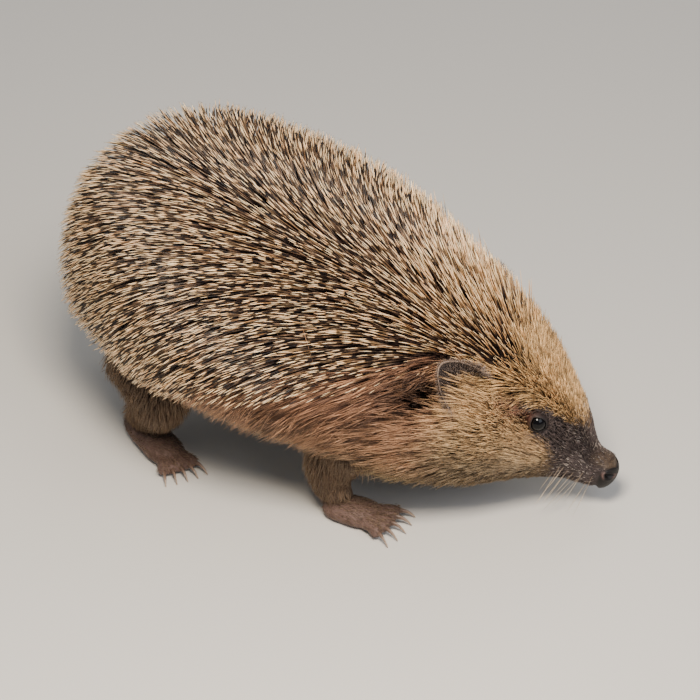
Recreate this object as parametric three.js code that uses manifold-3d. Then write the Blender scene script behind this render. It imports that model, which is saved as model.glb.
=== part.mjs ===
// European hedgehog at life size, standing on its four feet with its nose just above the ground.
// Millimetres, +Z up, +X from rump to head. The origin is on the floor, under the middle of the animal.
// The body is one loft round a bent axis, out to the tips of spines and fur, parted into trunk, neck,
// head and nose.
// Ears, legs and tail are shapes of their own, cut back to the body with a thin gap.
import * as THREE from "three";
import { mergeVertices } from "three/addons/utils/BufferGeometryUtils.js";
import Module from "manifold-3d";

const wasm = await Module();
wasm.setup();
const { smoothstep, degToRad } = THREE.MathUtils;
const UP = new THREE.Vector3(0, 0, 1);

// ---- driving dimensions ----
const GAP = 0.3; // between neighbouring solids
const LENGTH = 231; // rump to nose tip, along the axis
const RUMP_HEIGHT = 60; // of the axis above the floor
const SIDES = 32; // round a body section
const RING_SPACING = { trunk: 8.5, head: 5.5, nose: 2.2, cutter: 5 }; // along the axis
// The axis turns from one heading to the other between two distances along it, and tips in the same way.
// Angles are degrees: positive turns to the animal's left, and dips the head.
const TURN = { rump: -14, head: 21, from: 54, to: 179 };
const RISE = { rump: -6, until: 92 };
const DIP = { head: 29.5, from: 78, to: 179 };
const SNOUT_DIP = { more: 10, from: 196, to: 222 };
const NOSE_LIFT = { less: 32, from: 216, to: 229 };
// Half width, and height above and below the axis, at named distances along it. power is the exponent
// of the section: 2 is an ellipse, and more is squarer, as a broad forehead over the cheeks is.
const STATIONS = [
  { at: 0, name: "rump", width: 43, up: 44, down: 33, power: 2.05 },
  { at: 41, name: "hip", width: 55, up: 53.5, down: 41, power: 2.15 },
  { at: 84, name: "loin", width: 66, up: 51, down: 45, power: 2.15 },
  { at: 118, name: "shoulder", width: 66, up: 43.5, down: 43, power: 2.15 },
  { at: 144, name: "chest", width: 55.5, up: 40, down: 42, power: 2.25 },
  { at: 164, name: "nape", width: 44, up: 37, down: 40, power: 2.45 },
  { at: 182, name: "brow", width: 33, up: 31, down: 31, power: 2.75 },
  { at: 198, name: "eyes", width: 20.3, up: 22.8, down: 20, power: 2.95 },
  { at: 209, name: "stop", width: 12.6, up: 14.9, down: 14.6, power: 2.7 },
  { at: 218, name: "muzzle", width: 8.7, up: 7.6, down: 10, power: 2.4 },
  { at: LENGTH, name: "nose", width: 5.8, up: 5.4, down: 6, power: 2.15 },
];
const RUMP_ROUND = 36; // length over which the rump closes
const NOSE_ROUND = 5; // length over which the nose closes
// The spiny coat ends in a lip along the flank, which rises from the hip to the shoulder. The fur
// below the lip lies this much further in. Angles are degrees above level.
const LIP = { hip: -24, shoulder: 4, from: 68, to: 128, softness: 12, tuck: 4, fade: 24 };
// Where the body is parted.
const TRUNK_END = 134;
const NECK_END = 152;
const HEAD_END = 225.5;

// Each eye lies in a hollow between brow and cheek, and its ball stands out of the surface by its bulge.
// It looks out square to the surface, turned to the side by a share of the sideways direction.
const EYE = { at: 193.4, angle: 26.5, radius: 3.3, bulge: 1.9, aside: 0.6 };
const HOLLOWS = [
  { name: "eye", at: 188.5, angle: 23, depth: 3.6, length: 9, width: 24 },
  { name: "behind the ear", at: 161, angle: 25, depth: 7, length: 8, width: 18 },
];
// The blade of the ear starts inside the head, so that its root is cut to the head's surface. It leans
// and faces along mixes of the directions named. Its outline is an oval, a little wider at the root.
// The left one is sunk less, because the neck bends to that side and bulges behind it, and is laid low.
const EAR = {
  at: 167.5,
  angle: 26,
  length: 25,
  width: 17,
  egg: 0.18,
  thickness: 1.6,
  cup: 3.2,
  lean: { out: 0.7, back: 0.4 },
  left: { sunk: 4, up: 0 },
  right: { sunk: 6.5, up: 0.4 },
  face: { ahead: 0.6, out: 0.7 },
};
const TAIL = { at: 14, height: 33, length: 22, root: 4.8, tip: 1.8, droop: 36 };

// A leg goes from a joint hidden in the body through elbow or knee and wrist or heel to a flat foot.
// at: distance along the axis; out: to the side of it; splay: degrees that the foot turns out.
// The heel lies behind the ankle, and the toes spread from roots side by side over the sole's end.
const LIMB_FLATNESS = 0.85; // width of a limb over its depth
const HEEL_BACK = 3;
const TOE_ROOTS = { spread: 9, ahead: 1.3 };
const FORELEG = {
  at: 136,
  out: 31,
  joint: { back: 0, height: 36, radius: 12.5 },
  bend: { back: 7, height: 22, radius: 9.5 },
  ankle: { back: 2, height: 8, radius: 6 },
  sole: { length: 16, width: 8.4, height: 5 },
  toes: { length: 8, radius: 2.7, fan: 56, claw: 5.5 },
  splay: 6,
};
const HINDLEG = {
  at: 52,
  out: 33,
  joint: { back: 2, height: 38, radius: 15 },
  bend: { back: -9, height: 25, radius: 12 },
  ankle: { back: 11, height: 8, radius: 6.2 },
  sole: { length: 27, width: 8.2, height: 5.2 },
  toes: { length: 8.5, radius: 2.7, fan: 42, claw: 5.5 },
  splay: 14,
};
const TOES = 5;
const TOE_NARROWING = 0.2;
const CLAW_RADIUS = { root: 1.5, tip: 0.45 };
// How far each foot is set ahead of its joint, in a slow step.
const STEPS = {
  foreleg_right: { spec: FORELEG, side: -1, ahead: -6 },
  foreleg_left: { spec: FORELEG, side: 1, ahead: 9 },
  hindleg_right: { spec: HINDLEG, side: -1, ahead: 8 },
  hindleg_left: { spec: HINDLEG, side: 1, ahead: -7 },
};

// ---- the body's axis and sections ----

// Heading and dip of the axis at a distance, in radians.
function heading(at) {
  const turned = smoothstep(at, TURN.from, TURN.to);
  return degToRad(TURN.rump + (TURN.head - TURN.rump) * turned);
}

function dip(at) {
  const rise = RISE.rump * (1 - smoothstep(at, 0, RISE.until));
  const snout = SNOUT_DIP.more * smoothstep(at, SNOUT_DIP.from, SNOUT_DIP.to);
  const nose = NOSE_LIFT.less * smoothstep(at, NOSE_LIFT.from, NOSE_LIFT.to);
  return degToRad(rise + DIP.head * smoothstep(at, DIP.from, DIP.to) + snout - nose);
}

function forward(at) {
  const h = heading(at);
  const p = dip(at);
  return new THREE.Vector3(Math.cos(p) * Math.cos(h), Math.cos(p) * Math.sin(h), -Math.sin(p));
}

// The animal's left, level and square to the axis.
function sideways(at) {
  return new THREE.Vector3(-Math.sin(heading(at)), Math.cos(heading(at)), 0);
}

// The axis as points 1 mm apart, summed from its direction, and read between them.
const AXIS = [new THREE.Vector3(0, 0, RUMP_HEIGHT)];
for (let at = 1; at <= LENGTH; at++) AXIS.push(AXIS[at - 1].clone().add(forward(at - 0.5)));

function centre(at) {
  const i = Math.min(Math.floor(at), LENGTH - 1);
  return AXIS[i].clone().lerp(AXIS[i + 1], at - i);
}

// A station's size at any distance: a cubic through the stations, with slopes from their neighbours.
function between(at, key) {
  const last = STATIONS.length - 1;
  let i = 0;
  while (i < last - 1 && STATIONS[i + 1].at < at) i++;
  const slope = (k) => {
    const a = STATIONS[Math.max(k - 1, 0)];
    const b = STATIONS[Math.min(k + 1, last)];
    return (b[key] - a[key]) / (b.at - a.at);
  };
  const [a, b] = [STATIONS[i], STATIONS[i + 1]];
  const span = b.at - a.at;
  const t = (at - a.at) / span;
  const start = a[key] * (1 + 2 * t) * (1 - t) ** 2 + b[key] * t * t * (3 - 2 * t);
  return start + span * (slope(i) * t * (1 - t) ** 2 + slope(i + 1) * t * t * (t - 1));
}

// 0 at a round end and 1 past it, as a quarter circle.
function rounding(fromEnd, length) {
  const t = Math.min(Math.max(fromEnd / length, 0), 1);
  return Math.sqrt(1 - (1 - t) ** 2);
}

// How far the surface lies inside the spiny coat's outline, below its lip.
function tuck(at, angle) {
  const lip = THREE.MathUtils.lerp(LIP.hip, LIP.shoulder, smoothstep(at, LIP.from, LIP.to));
  const below = 1 - smoothstep(angle, lip - LIP.softness, lip);
  const along = smoothstep(at, 0, LIP.fade) * (1 - smoothstep(at, LIP.to, LIP.to + LIP.fade));
  return LIP.tuck * below * along;
}

// Depth of the hollows round the eye and behind the ear, each a bell in both directions.
function hollow(at, angle) {
  const depths = HOLLOWS.map((h) => {
    const off = Math.hypot((at - h.at) / h.length, (angle - h.angle) / h.width);
    return h.depth * Math.exp(-off * off);
  });
  return depths.reduce((sum, depth) => sum + depth);
}

// A point of the surface: at a distance, at an angle from the animal's left side (0) over its back (90)
// to its right side (180), grown outwards by some millimetres.
function surface(at, degrees, grow = 0) {
  const power = between(at, "power");
  const round = rounding(at, RUMP_ROUND) * rounding(LENGTH - at, NOSE_ROUND);
  const a = degToRad(degrees);
  const [c, s] = [Math.cos(a), Math.sin(a)];
  const squared = (v) => Math.sign(v) * Math.abs(v) ** (2 / power);
  const tall = between(at, s > 0 ? "up" : "down");
  const side = squared(c) * between(at, "width") * round;
  const up = squared(s) * tall * round;
  const lift = Math.asin(s) * THREE.MathUtils.RAD2DEG; // degrees above level, on either side
  const inwards = (tuck(at, lift) + hollow(at, lift)) * round - grow;
  const r = Math.hypot(side, up);
  const k = r > 0 ? Math.max(r - inwards, 0) / r : 0;
  const f = forward(at);
  const left = sideways(at);
  const over = new THREE.Vector3().crossVectors(f, left);
  return centre(at)
    .addScaledVector(left, side * k)
    .addScaledVector(over, up * k);
}

// ---- solids from rings ----

// Closed solid through rings of points, which run left over top to right when seen from behind.
function solidOfRings(rings) {
  const n = rings[0].length;
  const points = rings.flat();
  const middle = (ring) =>
    ring.reduce((sum, p) => sum.add(p), new THREE.Vector3()).divideScalar(ring.length);
  points.push(middle(rings[0]), middle(rings.at(-1)));
  const [tail, nose] = [points.length - 2, points.length - 1];
  const faces = [];
  for (let j = 0; j < n; j++) {
    const k = (j + 1) % n;
    for (let i = 0; i + 1 < rings.length; i++) {
      const [a, b, c, d] = [i * n + j, i * n + k, (i + 1) * n + j, (i + 1) * n + k];
      faces.push(a, b, c, b, d, c);
    }
    faces.push(tail, k, j);
    const end = (rings.length - 1) * n;
    faces.push(nose, end + j, end + k);
  }
  const vertProperties = new Float32Array(points.flatMap((p) => [p.x, p.y, p.z]));
  return new wasm.Manifold(
    new wasm.Mesh({ numProp: 3, vertProperties, triVerts: new Uint32Array(faces) }),
  );
}

// The body between two distances, with rings about so far apart, closer together at the round ends.
function bodySolid(from, to, spacing, grow = 0) {
  const places = [];
  const roundSteps = 6;
  for (let i = 1; i <= roundSteps && from === 0; i++)
    places.push(RUMP_ROUND * (1 - Math.cos((i / roundSteps) * (Math.PI / 2))));
  const start = from === 0 ? RUMP_ROUND : from;
  const end = to === LENGTH ? LENGTH - NOSE_ROUND : to;
  const count = Math.max(1, Math.round((end - start) / spacing));
  for (let i = from === 0 ? 1 : 0; i <= count; i++)
    places.push(start + ((end - start) * i) / count);
  const noseSteps = 4;
  for (let i = 1; i < noseSteps && to === LENGTH; i++)
    places.push(LENGTH - NOSE_ROUND * (1 - Math.sin((i / noseSteps) * (Math.PI / 2))));
  const rings = places.map((at) =>
    Array.from({ length: SIDES }, (_, j) => surface(at, (j * 360) / SIDES, grow)),
  );
  return solidOfRings(rings);
}

// A tube with oval sections along a curve: radius(t) gives its half width and half height at t from 0 to 1.
function tube(points, radius, steps, sides, level) {
  const curve = new THREE.CatmullRomCurve3(points);
  const rings = [];
  for (let i = 0; i <= steps; i++) {
    const t = i / steps;
    const f = curve.getTangent(t);
    const left = new THREE.Vector3().crossVectors(level, f).normalize();
    const over = new THREE.Vector3().crossVectors(f, left);
    const [wide, high] = radius(t);
    const middle = curve.getPoint(t);
    rings.push(
      Array.from({ length: sides }, (_, j) => {
        const a = (j / sides) * 2 * Math.PI;
        return middle
          .clone()
          .addScaledVector(left, wide * Math.cos(a))
          .addScaledVector(over, high * Math.sin(a));
      }),
    );
  }
  return solidOfRings(rings);
}

// The largest body of a cut solid, so that no sliver is left beside it.
function largest(solid) {
  return solid.decompose().reduce((a, b) => (a.volume() > b.volume() ? a : b));
}

// A closed three.js geometry as a solid, with the vertices that its faces share merged.
function solidOf(geometry) {
  geometry.deleteAttribute("normal");
  geometry.deleteAttribute("uv");
  const merged = mergeVertices(geometry, 1e-4);
  const vertProperties = merged.getAttribute("position").array;
  const triVerts = new Uint32Array(merged.index.array);
  return new wasm.Manifold(new wasm.Mesh({ numProp: 3, vertProperties, triVerts }));
}

// ---- the parts ----

// The whole body grown by the gap, with the facets of neck and head besides its own, because those lie
// a little outside it in the hollows.
const bodyWithGap = bodySolid(0, LENGTH, RING_SPACING.cutter, GAP)
  .add(bodySolid(TRUNK_END + GAP, NECK_END, RING_SPACING.trunk, GAP))
  .add(bodySolid(NECK_END + GAP, HEAD_END, RING_SPACING.head, GAP));
const underFloor = solidOf(new THREE.BoxGeometry(600, 600, 100).translate(100, 0, -50));

// A side is +1 for the animal's left and -1 for its right.
function sideAngle(side, angle) {
  return side > 0 ? angle : 180 - angle;
}

// Outward direction of the surface, square to two short steps over it.
function outward(at, degrees) {
  const here = surface(at, degrees);
  const along = surface(at + 0.5, degrees).sub(here);
  const round = surface(at, degrees + 0.5).sub(here);
  return round.cross(along).normalize();
}

function eyeBall(side, grow = 0) {
  const angle = sideAngle(side, EYE.angle);
  const aside = sideways(EYE.at).multiplyScalar(side * EYE.aside);
  const gaze = aside.add(outward(EYE.at, angle)).normalize();
  const middle = surface(EYE.at, angle).addScaledVector(gaze, EYE.bulge - EYE.radius);
  const ball = new THREE.SphereGeometry(EYE.radius + grow, 14, 10);
  return solidOf(ball.translate(middle.x, middle.y, middle.z));
}

// A cupped, oval blade that faces forwards and out. Its rings run from the middle of the hollow side,
// over the rim, to the middle of the back.
function ear(side) {
  const angle = sideAngle(side, EAR.angle);
  const out = outward(EAR.at, angle);
  const ahead = forward(EAR.at);
  const { lean, face } = EAR;
  const { sunk, up } = side > 0 ? EAR.left : EAR.right;
  const tip = out.clone().multiplyScalar(lean.out).addScaledVector(ahead, -lean.back);
  tip.addScaledVector(UP, up).normalize();
  const facing = ahead.clone().multiplyScalar(face.ahead).addScaledVector(out, face.out);
  facing.addScaledVector(tip, -facing.dot(tip)).normalize();
  const across = new THREE.Vector3().crossVectors(facing, tip);
  const root = surface(EAR.at, angle).addScaledVector(out, -sunk);
  const spans = [0.4, 0.75, 0.95, 1, 0.95, 0.75, 0.4];
  const rings = spans.map((span, i) =>
    Array.from({ length: 16 }, (_, j) => {
      const a = (j / 16) * 2 * Math.PI;
      const x = (EAR.width / 2) * span * Math.cos(a) * (1 - EAR.egg * Math.sin(a));
      const y = (EAR.length / 2) * (1 + span * Math.sin(a));
      const hollow = -EAR.cup * (1 - (span * Math.cos(a)) ** 2);
      const half = (EAR.thickness / 2) * Math.sqrt(1 - 0.9 * span ** 2);
      const skin = Math.sign(3 - i) * half;
      return root
        .clone()
        .addScaledVector(across, x)
        .addScaledVector(tip, y)
        .addScaledVector(facing, hollow + skin);
    }),
  );
  return largest(solidOfRings(rings).subtract(bodyWithGap));
}

function tail() {
  const back = forward(0).negate().setZ(0).normalize();
  const droop = degToRad(TAIL.droop);
  const root = centre(TAIL.at).setZ(TAIL.height);
  const points = [0, 0.5, 1].map((t) => {
    const point = root.clone().addScaledVector(back, TAIL.length * t * Math.cos(droop));
    point.z -= TAIL.length * t * Math.sin(droop);
    return point;
  });
  const radius = (t) => TAIL.root + (TAIL.tip - TAIL.root) * t;
  const cone = tube(points, (t) => [radius(t), radius(t)], 5, 12, UP);
  return largest(cone.subtract(bodyWithGap));
}

// A toe that bends down to the floor, and narrows at its end to a claw.
function toe(root, along, { length, radius, claw }) {
  const whole = length + claw;
  const clawFrom = length / whole;
  const points = [
    [0, radius * 1.1],
    [length * 0.5, radius * 1.3],
    [length, radius * 0.85],
    [whole, CLAW_RADIUS.tip * 1.2],
  ].map(([reach, height]) => root.clone().addScaledVector(along, reach).setZ(height));
  const size = (t) =>
    t < clawFrom
      ? radius * (1 - TOE_NARROWING * smoothstep(t, clawFrom / 2, clawFrom))
      : THREE.MathUtils.lerp(CLAW_RADIUS.root, CLAW_RADIUS.tip, (t - clawFrom) / (1 - clawFrom));
  return tube(points, (t) => [size(t), size(t)], 6, 8, UP);
}

// One leg as a single solid: limb, sole, toes and claws, flat under the foot and cut back to the body.
function leg({ spec, side, ahead }) {
  const way = heading(spec.at) + degToRad(spec.splay) * side;
  const along = new THREE.Vector3(Math.cos(way), Math.sin(way), 0);
  const under = centre(spec.at).setZ(0).addScaledVector(sideways(spec.at), side * spec.out);
  const foot = under.clone().addScaledVector(along, ahead);
  const joints = [
    [spec.joint, 0],
    [spec.bend, 0.5],
    [spec.ankle, 1],
  ].map(([joint, share]) =>
    under
      .clone()
      .lerp(foot, share)
      .addScaledVector(along, -joint.back)
      .setZ(joint.height),
  );
  const sizes = [spec.joint.radius, spec.bend.radius, spec.ankle.radius];
  const limb = (t) => {
    const [i, k] = t < 0.5 ? [0, 2 * t] : [1, 2 * t - 1];
    const size = THREE.MathUtils.lerp(sizes[i], sizes[i + 1], k);
    return [size * LIMB_FLATNESS, size];
  };
  const { sole, toes } = spec;
  const heel = foot.clone().addScaledVector(along, -spec.ankle.back - HEEL_BACK);
  const ball = heel.clone().addScaledVector(along, sole.length);
  const pad = (t) => {
    const round = Math.sqrt(1 - (2 * t - 1) ** 4);
    const wide = THREE.MathUtils.lerp(0.72, 1, t) * sole.width;
    return [Math.max(wide * round, 0.8), Math.max(sole.height * round, 0.6)];
  };
  const onPad = (t) => heel.clone().lerp(ball, t).setZ(sole.height * 0.72);
  let solid = tube(joints, limb, 7, 14, along).add(
    tube([onPad(-0.15), onPad(0.5), onPad(1.15)], pad, 7, 12, UP),
  );
  const across = new THREE.Vector3().crossVectors(UP, along);
  for (let i = 0; i < TOES; i++) {
    const turn = degToRad(toes.fan) * (i / (TOES - 1) - 0.5);
    const ray = along.clone().applyAxisAngle(UP, turn);
    const start = ball.clone().addScaledVector(ray, TOE_ROOTS.ahead);
    start.addScaledVector(across, Math.sin(turn) * TOE_ROOTS.spread);
    solid = solid.add(toe(start, ray, toes));
  }
  return largest(solid.subtract(underFloor).subtract(bodyWithGap));
}

// ---- the model ----

const COLOURS = {
  spines: { color: "#6f5a49", roughness: 0.75 },
  fur: { color: "#a5835c", roughness: 0.9 },
  skin: { color: "#4a3f3b", roughness: 0.6 },
  nose: { color: "#1f1a1a", roughness: 0.3 },
  eye: { color: "#0b0a0c", roughness: 0.08 },
};

function mesh(name, solid, finish) {
  const made = solid.getMesh();
  const geometry = new THREE.BufferGeometry();
  geometry.setAttribute("position", new THREE.BufferAttribute(made.vertProperties, 3));
  geometry.setIndex(new THREE.BufferAttribute(made.triVerts, 1));
  geometry.computeVertexNormals();
  const result = new THREE.Mesh(geometry, new THREE.MeshStandardMaterial(COLOURS[finish]));
  result.name = name;
  return result;
}

const hedgehog = new THREE.Group();
hedgehog.add(mesh("trunk", bodySolid(0, TRUNK_END, RING_SPACING.trunk), "spines"));
const neck = bodySolid(TRUNK_END + GAP, NECK_END, RING_SPACING.trunk);
hedgehog.add(mesh("neck", neck, "spines"));
const head = bodySolid(NECK_END + GAP, HEAD_END, RING_SPACING.head)
  .subtract(eyeBall(1, GAP))
  .subtract(eyeBall(-1, GAP));
hedgehog.add(mesh("head", head, "fur"));
const nose = bodySolid(HEAD_END + GAP, LENGTH, RING_SPACING.nose);
hedgehog.add(mesh("nose", nose, "nose"));
hedgehog.add(mesh("tail", tail(), "skin"));
for (const [name, side] of [
  ["left", 1],
  ["right", -1],
]) {
  hedgehog.add(mesh("eye_" + name, eyeBall(side), "eye"));
  hedgehog.add(mesh("ear_" + name, ear(side), "skin"));
}
for (const [name, step] of Object.entries(STEPS)) hedgehog.add(mesh(name, leg(step), "skin"));

// The origin goes to the floor, under the middle of the whole animal.
const box = new THREE.Box3().setFromObject(hedgehog);
const middle = box.getCenter(new THREE.Vector3());
hedgehog.position.set(-middle.x, -middle.y, -box.min.z);

export default hedgehog;
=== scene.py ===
"""A European hedgehog at life size: one skin under solid spines and fur, with separate eyes and claws.

Lengths in the functions are millimetres, turned to metres where a mesh is made. +X runs from rump to
head, +Y is the animal's left and +Z is up. A place on the body is `at`, its distance along the bent axis
from rump to nose, and `angle`, in degrees from the animal's left (0) over its back (90) to its right
(180). `lift` is the same angle as degrees above level, alike on both sides.
"""
import math

import bpy
import numpy as np
from mathutils import Matrix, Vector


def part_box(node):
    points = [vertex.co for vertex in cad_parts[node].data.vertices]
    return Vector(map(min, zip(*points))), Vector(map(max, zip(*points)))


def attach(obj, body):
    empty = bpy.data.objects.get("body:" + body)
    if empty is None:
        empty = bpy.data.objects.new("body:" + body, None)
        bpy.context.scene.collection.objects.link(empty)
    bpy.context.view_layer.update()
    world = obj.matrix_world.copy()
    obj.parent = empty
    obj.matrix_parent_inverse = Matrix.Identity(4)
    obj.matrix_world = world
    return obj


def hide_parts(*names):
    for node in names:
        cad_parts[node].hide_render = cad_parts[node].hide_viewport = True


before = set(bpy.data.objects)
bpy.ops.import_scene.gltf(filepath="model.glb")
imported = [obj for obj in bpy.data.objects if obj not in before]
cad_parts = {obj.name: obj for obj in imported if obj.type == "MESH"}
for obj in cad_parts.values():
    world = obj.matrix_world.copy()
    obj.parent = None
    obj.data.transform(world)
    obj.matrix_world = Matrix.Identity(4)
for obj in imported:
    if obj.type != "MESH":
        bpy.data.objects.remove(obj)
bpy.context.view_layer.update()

MM = 0.001
UPWARD = np.array([0, 0, 1.0])

# ---- driving dimensions of the body, out to the tips of its coat ----
# Distances and sizes are in mm, angles in degrees.

LENGTH = 231.0
RUMP_HEIGHT = 60.0
# The axis: its heading turns to the left and its dip grows from start to end, in distances from the rump.
# The rump rises, the snout dips more, and the nose dips less again.
TURN = dict(rump=-14, head=21, start=54, end=179)
RISE = dict(rump=-6, end=92)
DIP = dict(head=29.5, start=78, end=179)
SNOUT_DIP = dict(more=10, start=196, end=222)
NOSE_LIFT = dict(less=32, start=216, end=229)
# Distance along the axis, half width, height above the axis and below it, exponent of the section.
STATIONS = np.array([
    (0, 43, 44, 33, 2.05),  # rump
    (41, 55, 53.5, 41, 2.15),  # hip
    (84, 66, 51, 45, 2.15),  # loin
    (118, 66, 43.5, 43, 2.15),  # shoulder
    (144, 55.5, 40, 42, 2.25),  # chest
    (164, 44, 37, 40, 2.45),  # nape
    (182, 33, 31, 31, 2.75),  # brow
    (198, 20.3, 22.8, 20, 2.95),  # eyes
    (209, 12.6, 14.9, 14.6, 2.7),  # stop
    (218, 8.7, 7.6, 10, 2.4),  # muzzle
    (LENGTH, 5.8, 5.4, 6, 2.15),  # nose
])
WIDTH, UP, DOWN, POWER = 1, 2, 3, 4
RUMP_ROUND, NOSE_ROUND = 36.0, 5.0
# The lip of the spiny back, below which the fur is tucked in: its lift at hip and shoulder, where it changes
# from one to the other, over how many degrees it steps in, how deep, and how it fades out.
LIP = dict(hip=-24, shoulder=4, start=68, end=128, softness=12, tuck=4, fade=24)
# Bell-shaped places, alike on both sides: distance along the body, lift, and reach each way.
PLACES = {
    "eye_hollow": (188.5, 23, 9, 24),
    "neck_hollow": (161, 25, 8, 18),
    "brow": (189, 47, 6, 11),
    "cheek": (195, -8, 8, 20),
    "whisker_pad": (216.5, -4, 5, 22),
    "snout_groove": (213, 36, 8, 9),
    "shoulder": (160, 0, 13, 20),  # in the shade of the head
    "ear_crease": (160, 22, 5.5, 14),  # painted shade in the crease behind the ear
    "ear_root": (163, 18, 4, 11),  # where the fur behind the ear is short
    "ear_front": (173, 27, 5, 13),  # loose fur stands over the front of the ear
    "above_eye": (188.2, 30.5, 3, 9),  # thin russet fur
    "behind_eye": (187.9, 25.5, 6.5, 13),  # dusky fur
    "below_eye": (197.9, 11.5, 5, 8),  # the mask runs out into the cheek
}
# How deep the coat dips and how high the skin rises at a place.
HOLLOWS = {"eye_hollow": 3.6, "neck_hollow": 7}
FORMS = {"brow": 0.9, "cheek": 1.1, "whisker_pad": 0.8, "snout_groove": -0.45}
# The ball stands out of the coat's outline by its bulge. Its gaze is square to the surface, plus a share
# aside.
EYE = dict(at=193.4, angle=26.5, radius=3.3, bulge=1.9, aside=0.6)
# The ear's blade: its share of egg shape, the depth of its cup, its rolled rim and the ridge in its hollow.
EAR = dict(at=167.5, angle=26, length=24.2, width=16.2, egg=0.18, thickness=1.1, cup=3.2, roll=0.7,
           ridge=0.5, sunk=6.5)
EAR_RINGS, EAR_SIDES = 35, 72
EAR_LEAN = dict(out=0.7, back=0.4)
# How much each ear leans up, by its side. The left one is laid low.
EAR_UP = {1: -0.15, -1: 0.4}
EAR_FACE = dict(ahead=0.6, out=0.7)
# Where the tail's root is, its radii, and how many degrees it droops.
TAIL = dict(at=14, height=33, length=21, root=4.2, tip=1.5, droop=36)
# A limb's width over its depth from front to back, how far the heel is behind the lowest joint, and how the
# toes' roots spread round the ball of the foot.
LIMB_FLATNESS = 0.85
HEEL_BACK = 3.0
# As shares of the sole's length, width and height.
SOLE = dict(past=0.15, heel_width=0.72, middle=0.72)
TOES = 5
TOE_ROOTS = dict(spread=9, ahead=1.3)
# A toe's middle line: where it starts behind its root, the shares of its length it then reaches, and its
# heights over its radius.
TOE_LINE = dict(start=-2.5, reach=(0.35, 0.95), rise=(1.1, 1.28, 0.86))
# Radii of a claw, how flat it is, how far it starts inside its toe, and how high its tip is.
CLAW = dict(root=1.15, tip=0.22, flatness=0.75, sunk=1.6, clear=0.35, rings=12, sides=12)
FUR_ON_LEG = 1.0
# Where a leg leaves the axis and how far out, how far back its three joints are, their heights and radii,
# the sole's length, width and height, the toes' length, radius and fan in degrees, the claws' length, and
# how many degrees the foot turns out.
FORELEG = dict(at=136, out=31, back=(0, 7, 2), height=(36, 22, 8), radius=(12.5, 9.5, 6), sole=(16, 8.4, 5),
               toe=8.0, toe_radius=2.7, fan=56, claw=5.5, splay=6)
HINDLEG = dict(at=52, out=33, back=(2, -9, 11), height=(38, 25, 8), radius=(15, 12, 6.2),
               sole=(27, 8.2, 5.2), toe=8.5, toe_radius=2.7, fan=42, claw=5.5, splay=14)
# Each leg, its side, and how far the foot is set ahead of its joint in a slow step.
STEPS = {
    "foreleg_right": (FORELEG, -1, -6),
    "foreleg_left": (FORELEG, 1, 9),
    "hindleg_right": (HINDLEG, -1, 8),
    "hindleg_left": (HINDLEG, 1, -7),
}

# ---- the coat ----

# Distance along the body, and the coat's depth over the skin on top, at the side and below.
COAT_DEPTH = np.array([
    (0, 12, 11, 8), (40, 13, 12, 6), (118, 12.5, 10, 7), (150, 11.5, 9.5, 8), (164, 10, 7.5, 8),
    (176, 8, 5.5, 6.5), (186, 6.5, 4, 4.5), (196, 4.8, 1.4, 3), (204, 2.8, 1, 1.8),
    (209, 1.2, 0.8, 1.2), (212, 0.8, 0.7, 0.9), (222, 0.4, 0.3, 0.4), (226, 0.1, 0.1, 0.1), (LENGTH, 0, 0, 0),
])
# The same for the length of the fur.
FUR_LENGTH = np.array([
    (0, 17, 20, 16), (118, 18, 25, 18), (150, 18, 25, 18), (164, 18, 20, 17), (176, 16, 15, 13),
    (186, 13, 11, 10), (196, 9.5, 6, 6.5), (204, 6, 3.6, 3.6), (212, 2.8, 2.6, 2.4),
    (222, 1.6, 1.6, 1.5), (LENGTH, 1.0, 1.0, 1.0),
])
# Lift above level, and how far forward the spines grow there.
SPINES_END = np.array([
    (-90, -8), (-60, 2), (-40, 14), (-28, 40), (-24, 60), (-8, 100), (8, 117), (13, 128), (21, 139),
    (33, 152), (42, 163), (60, 178), (72, 187), (82, 186), (90, 182),
])
# lean is the angle over the skin that a spine starts from, in degrees; least and most are its limits in
# radians. bow is a share of the length.
SPINE = dict(length=22.0, radius=0.21, per_mm2=0.38, lean=34, least=0.12, most=1.25, bow=0.03, sunk=0.8)
# Each piece of spines, and the stretch along the body that it covers.
SPINE_STRETCHES = (("spines_rump", -1, 50), ("spines_loin", 50, 84), ("spines_shoulder", 84, 120),
                   ("spines_nape", 120, 400))
# On the crown: share of long loose spines, how much longer and thinner they are, and how far they stand out.
WISP = dict(share=0.04, longer=0.35, thinner=0.45, proud=4)
# Lift above level, and where the dark mask of the muzzle starts there.
MASK_START = np.array([
    (-90, 211), (-40, 210.5), (-16, 209.5), (-8, 208.5), (1, 205.5), (9, 200.5), (14, 195.5), (20, 193.5),
    (27, 191.5), (33, 190.5), (37, 188.5), (42, 188.5), (45, 194.5), (48, 200.5), (54, 204.5), (60, 206.5),
    (78, 209), (90, 210),
])

# ---- small tools ----


def smooth(x, low, high):
    """0 below low, 1 above high, and 3t^2 - 2t^3 between."""
    t = np.clip((x - low) / (high - low), 0, 1)
    return t * t * (3 - 2 * t)


def mix(a, b, t):
    """From a at t = 0 to b at t = 1, for numbers, points or colours."""
    t = np.asarray(t, float)
    if np.ndim(b) and np.shape(b)[-1] in (3, 4) and np.shape(t) != np.shape(b):
        t = t[..., None]
    return np.asarray(a) * (1 - t) + np.asarray(b) * t


def bell(x):
    """e to the power of -x^2: 1 at 0, and near 0 from 2 on."""
    return np.exp(-x * x)


def near(place, at, lift):
    """1 in the middle of a named place, and 0 away from it."""
    middle, level, length, width = PLACES[place]
    return bell(np.hypot((at - middle) / length, (lift - level) / width))


def unit(v):
    """Vectors over their own lengths."""
    return v / np.maximum(np.linalg.norm(v, axis=-1, keepdims=True), 1e-9)


def dot(a, b):
    """The sum of the products of a and b along their last axis."""
    return np.sum(a * b, axis=-1)


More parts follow.
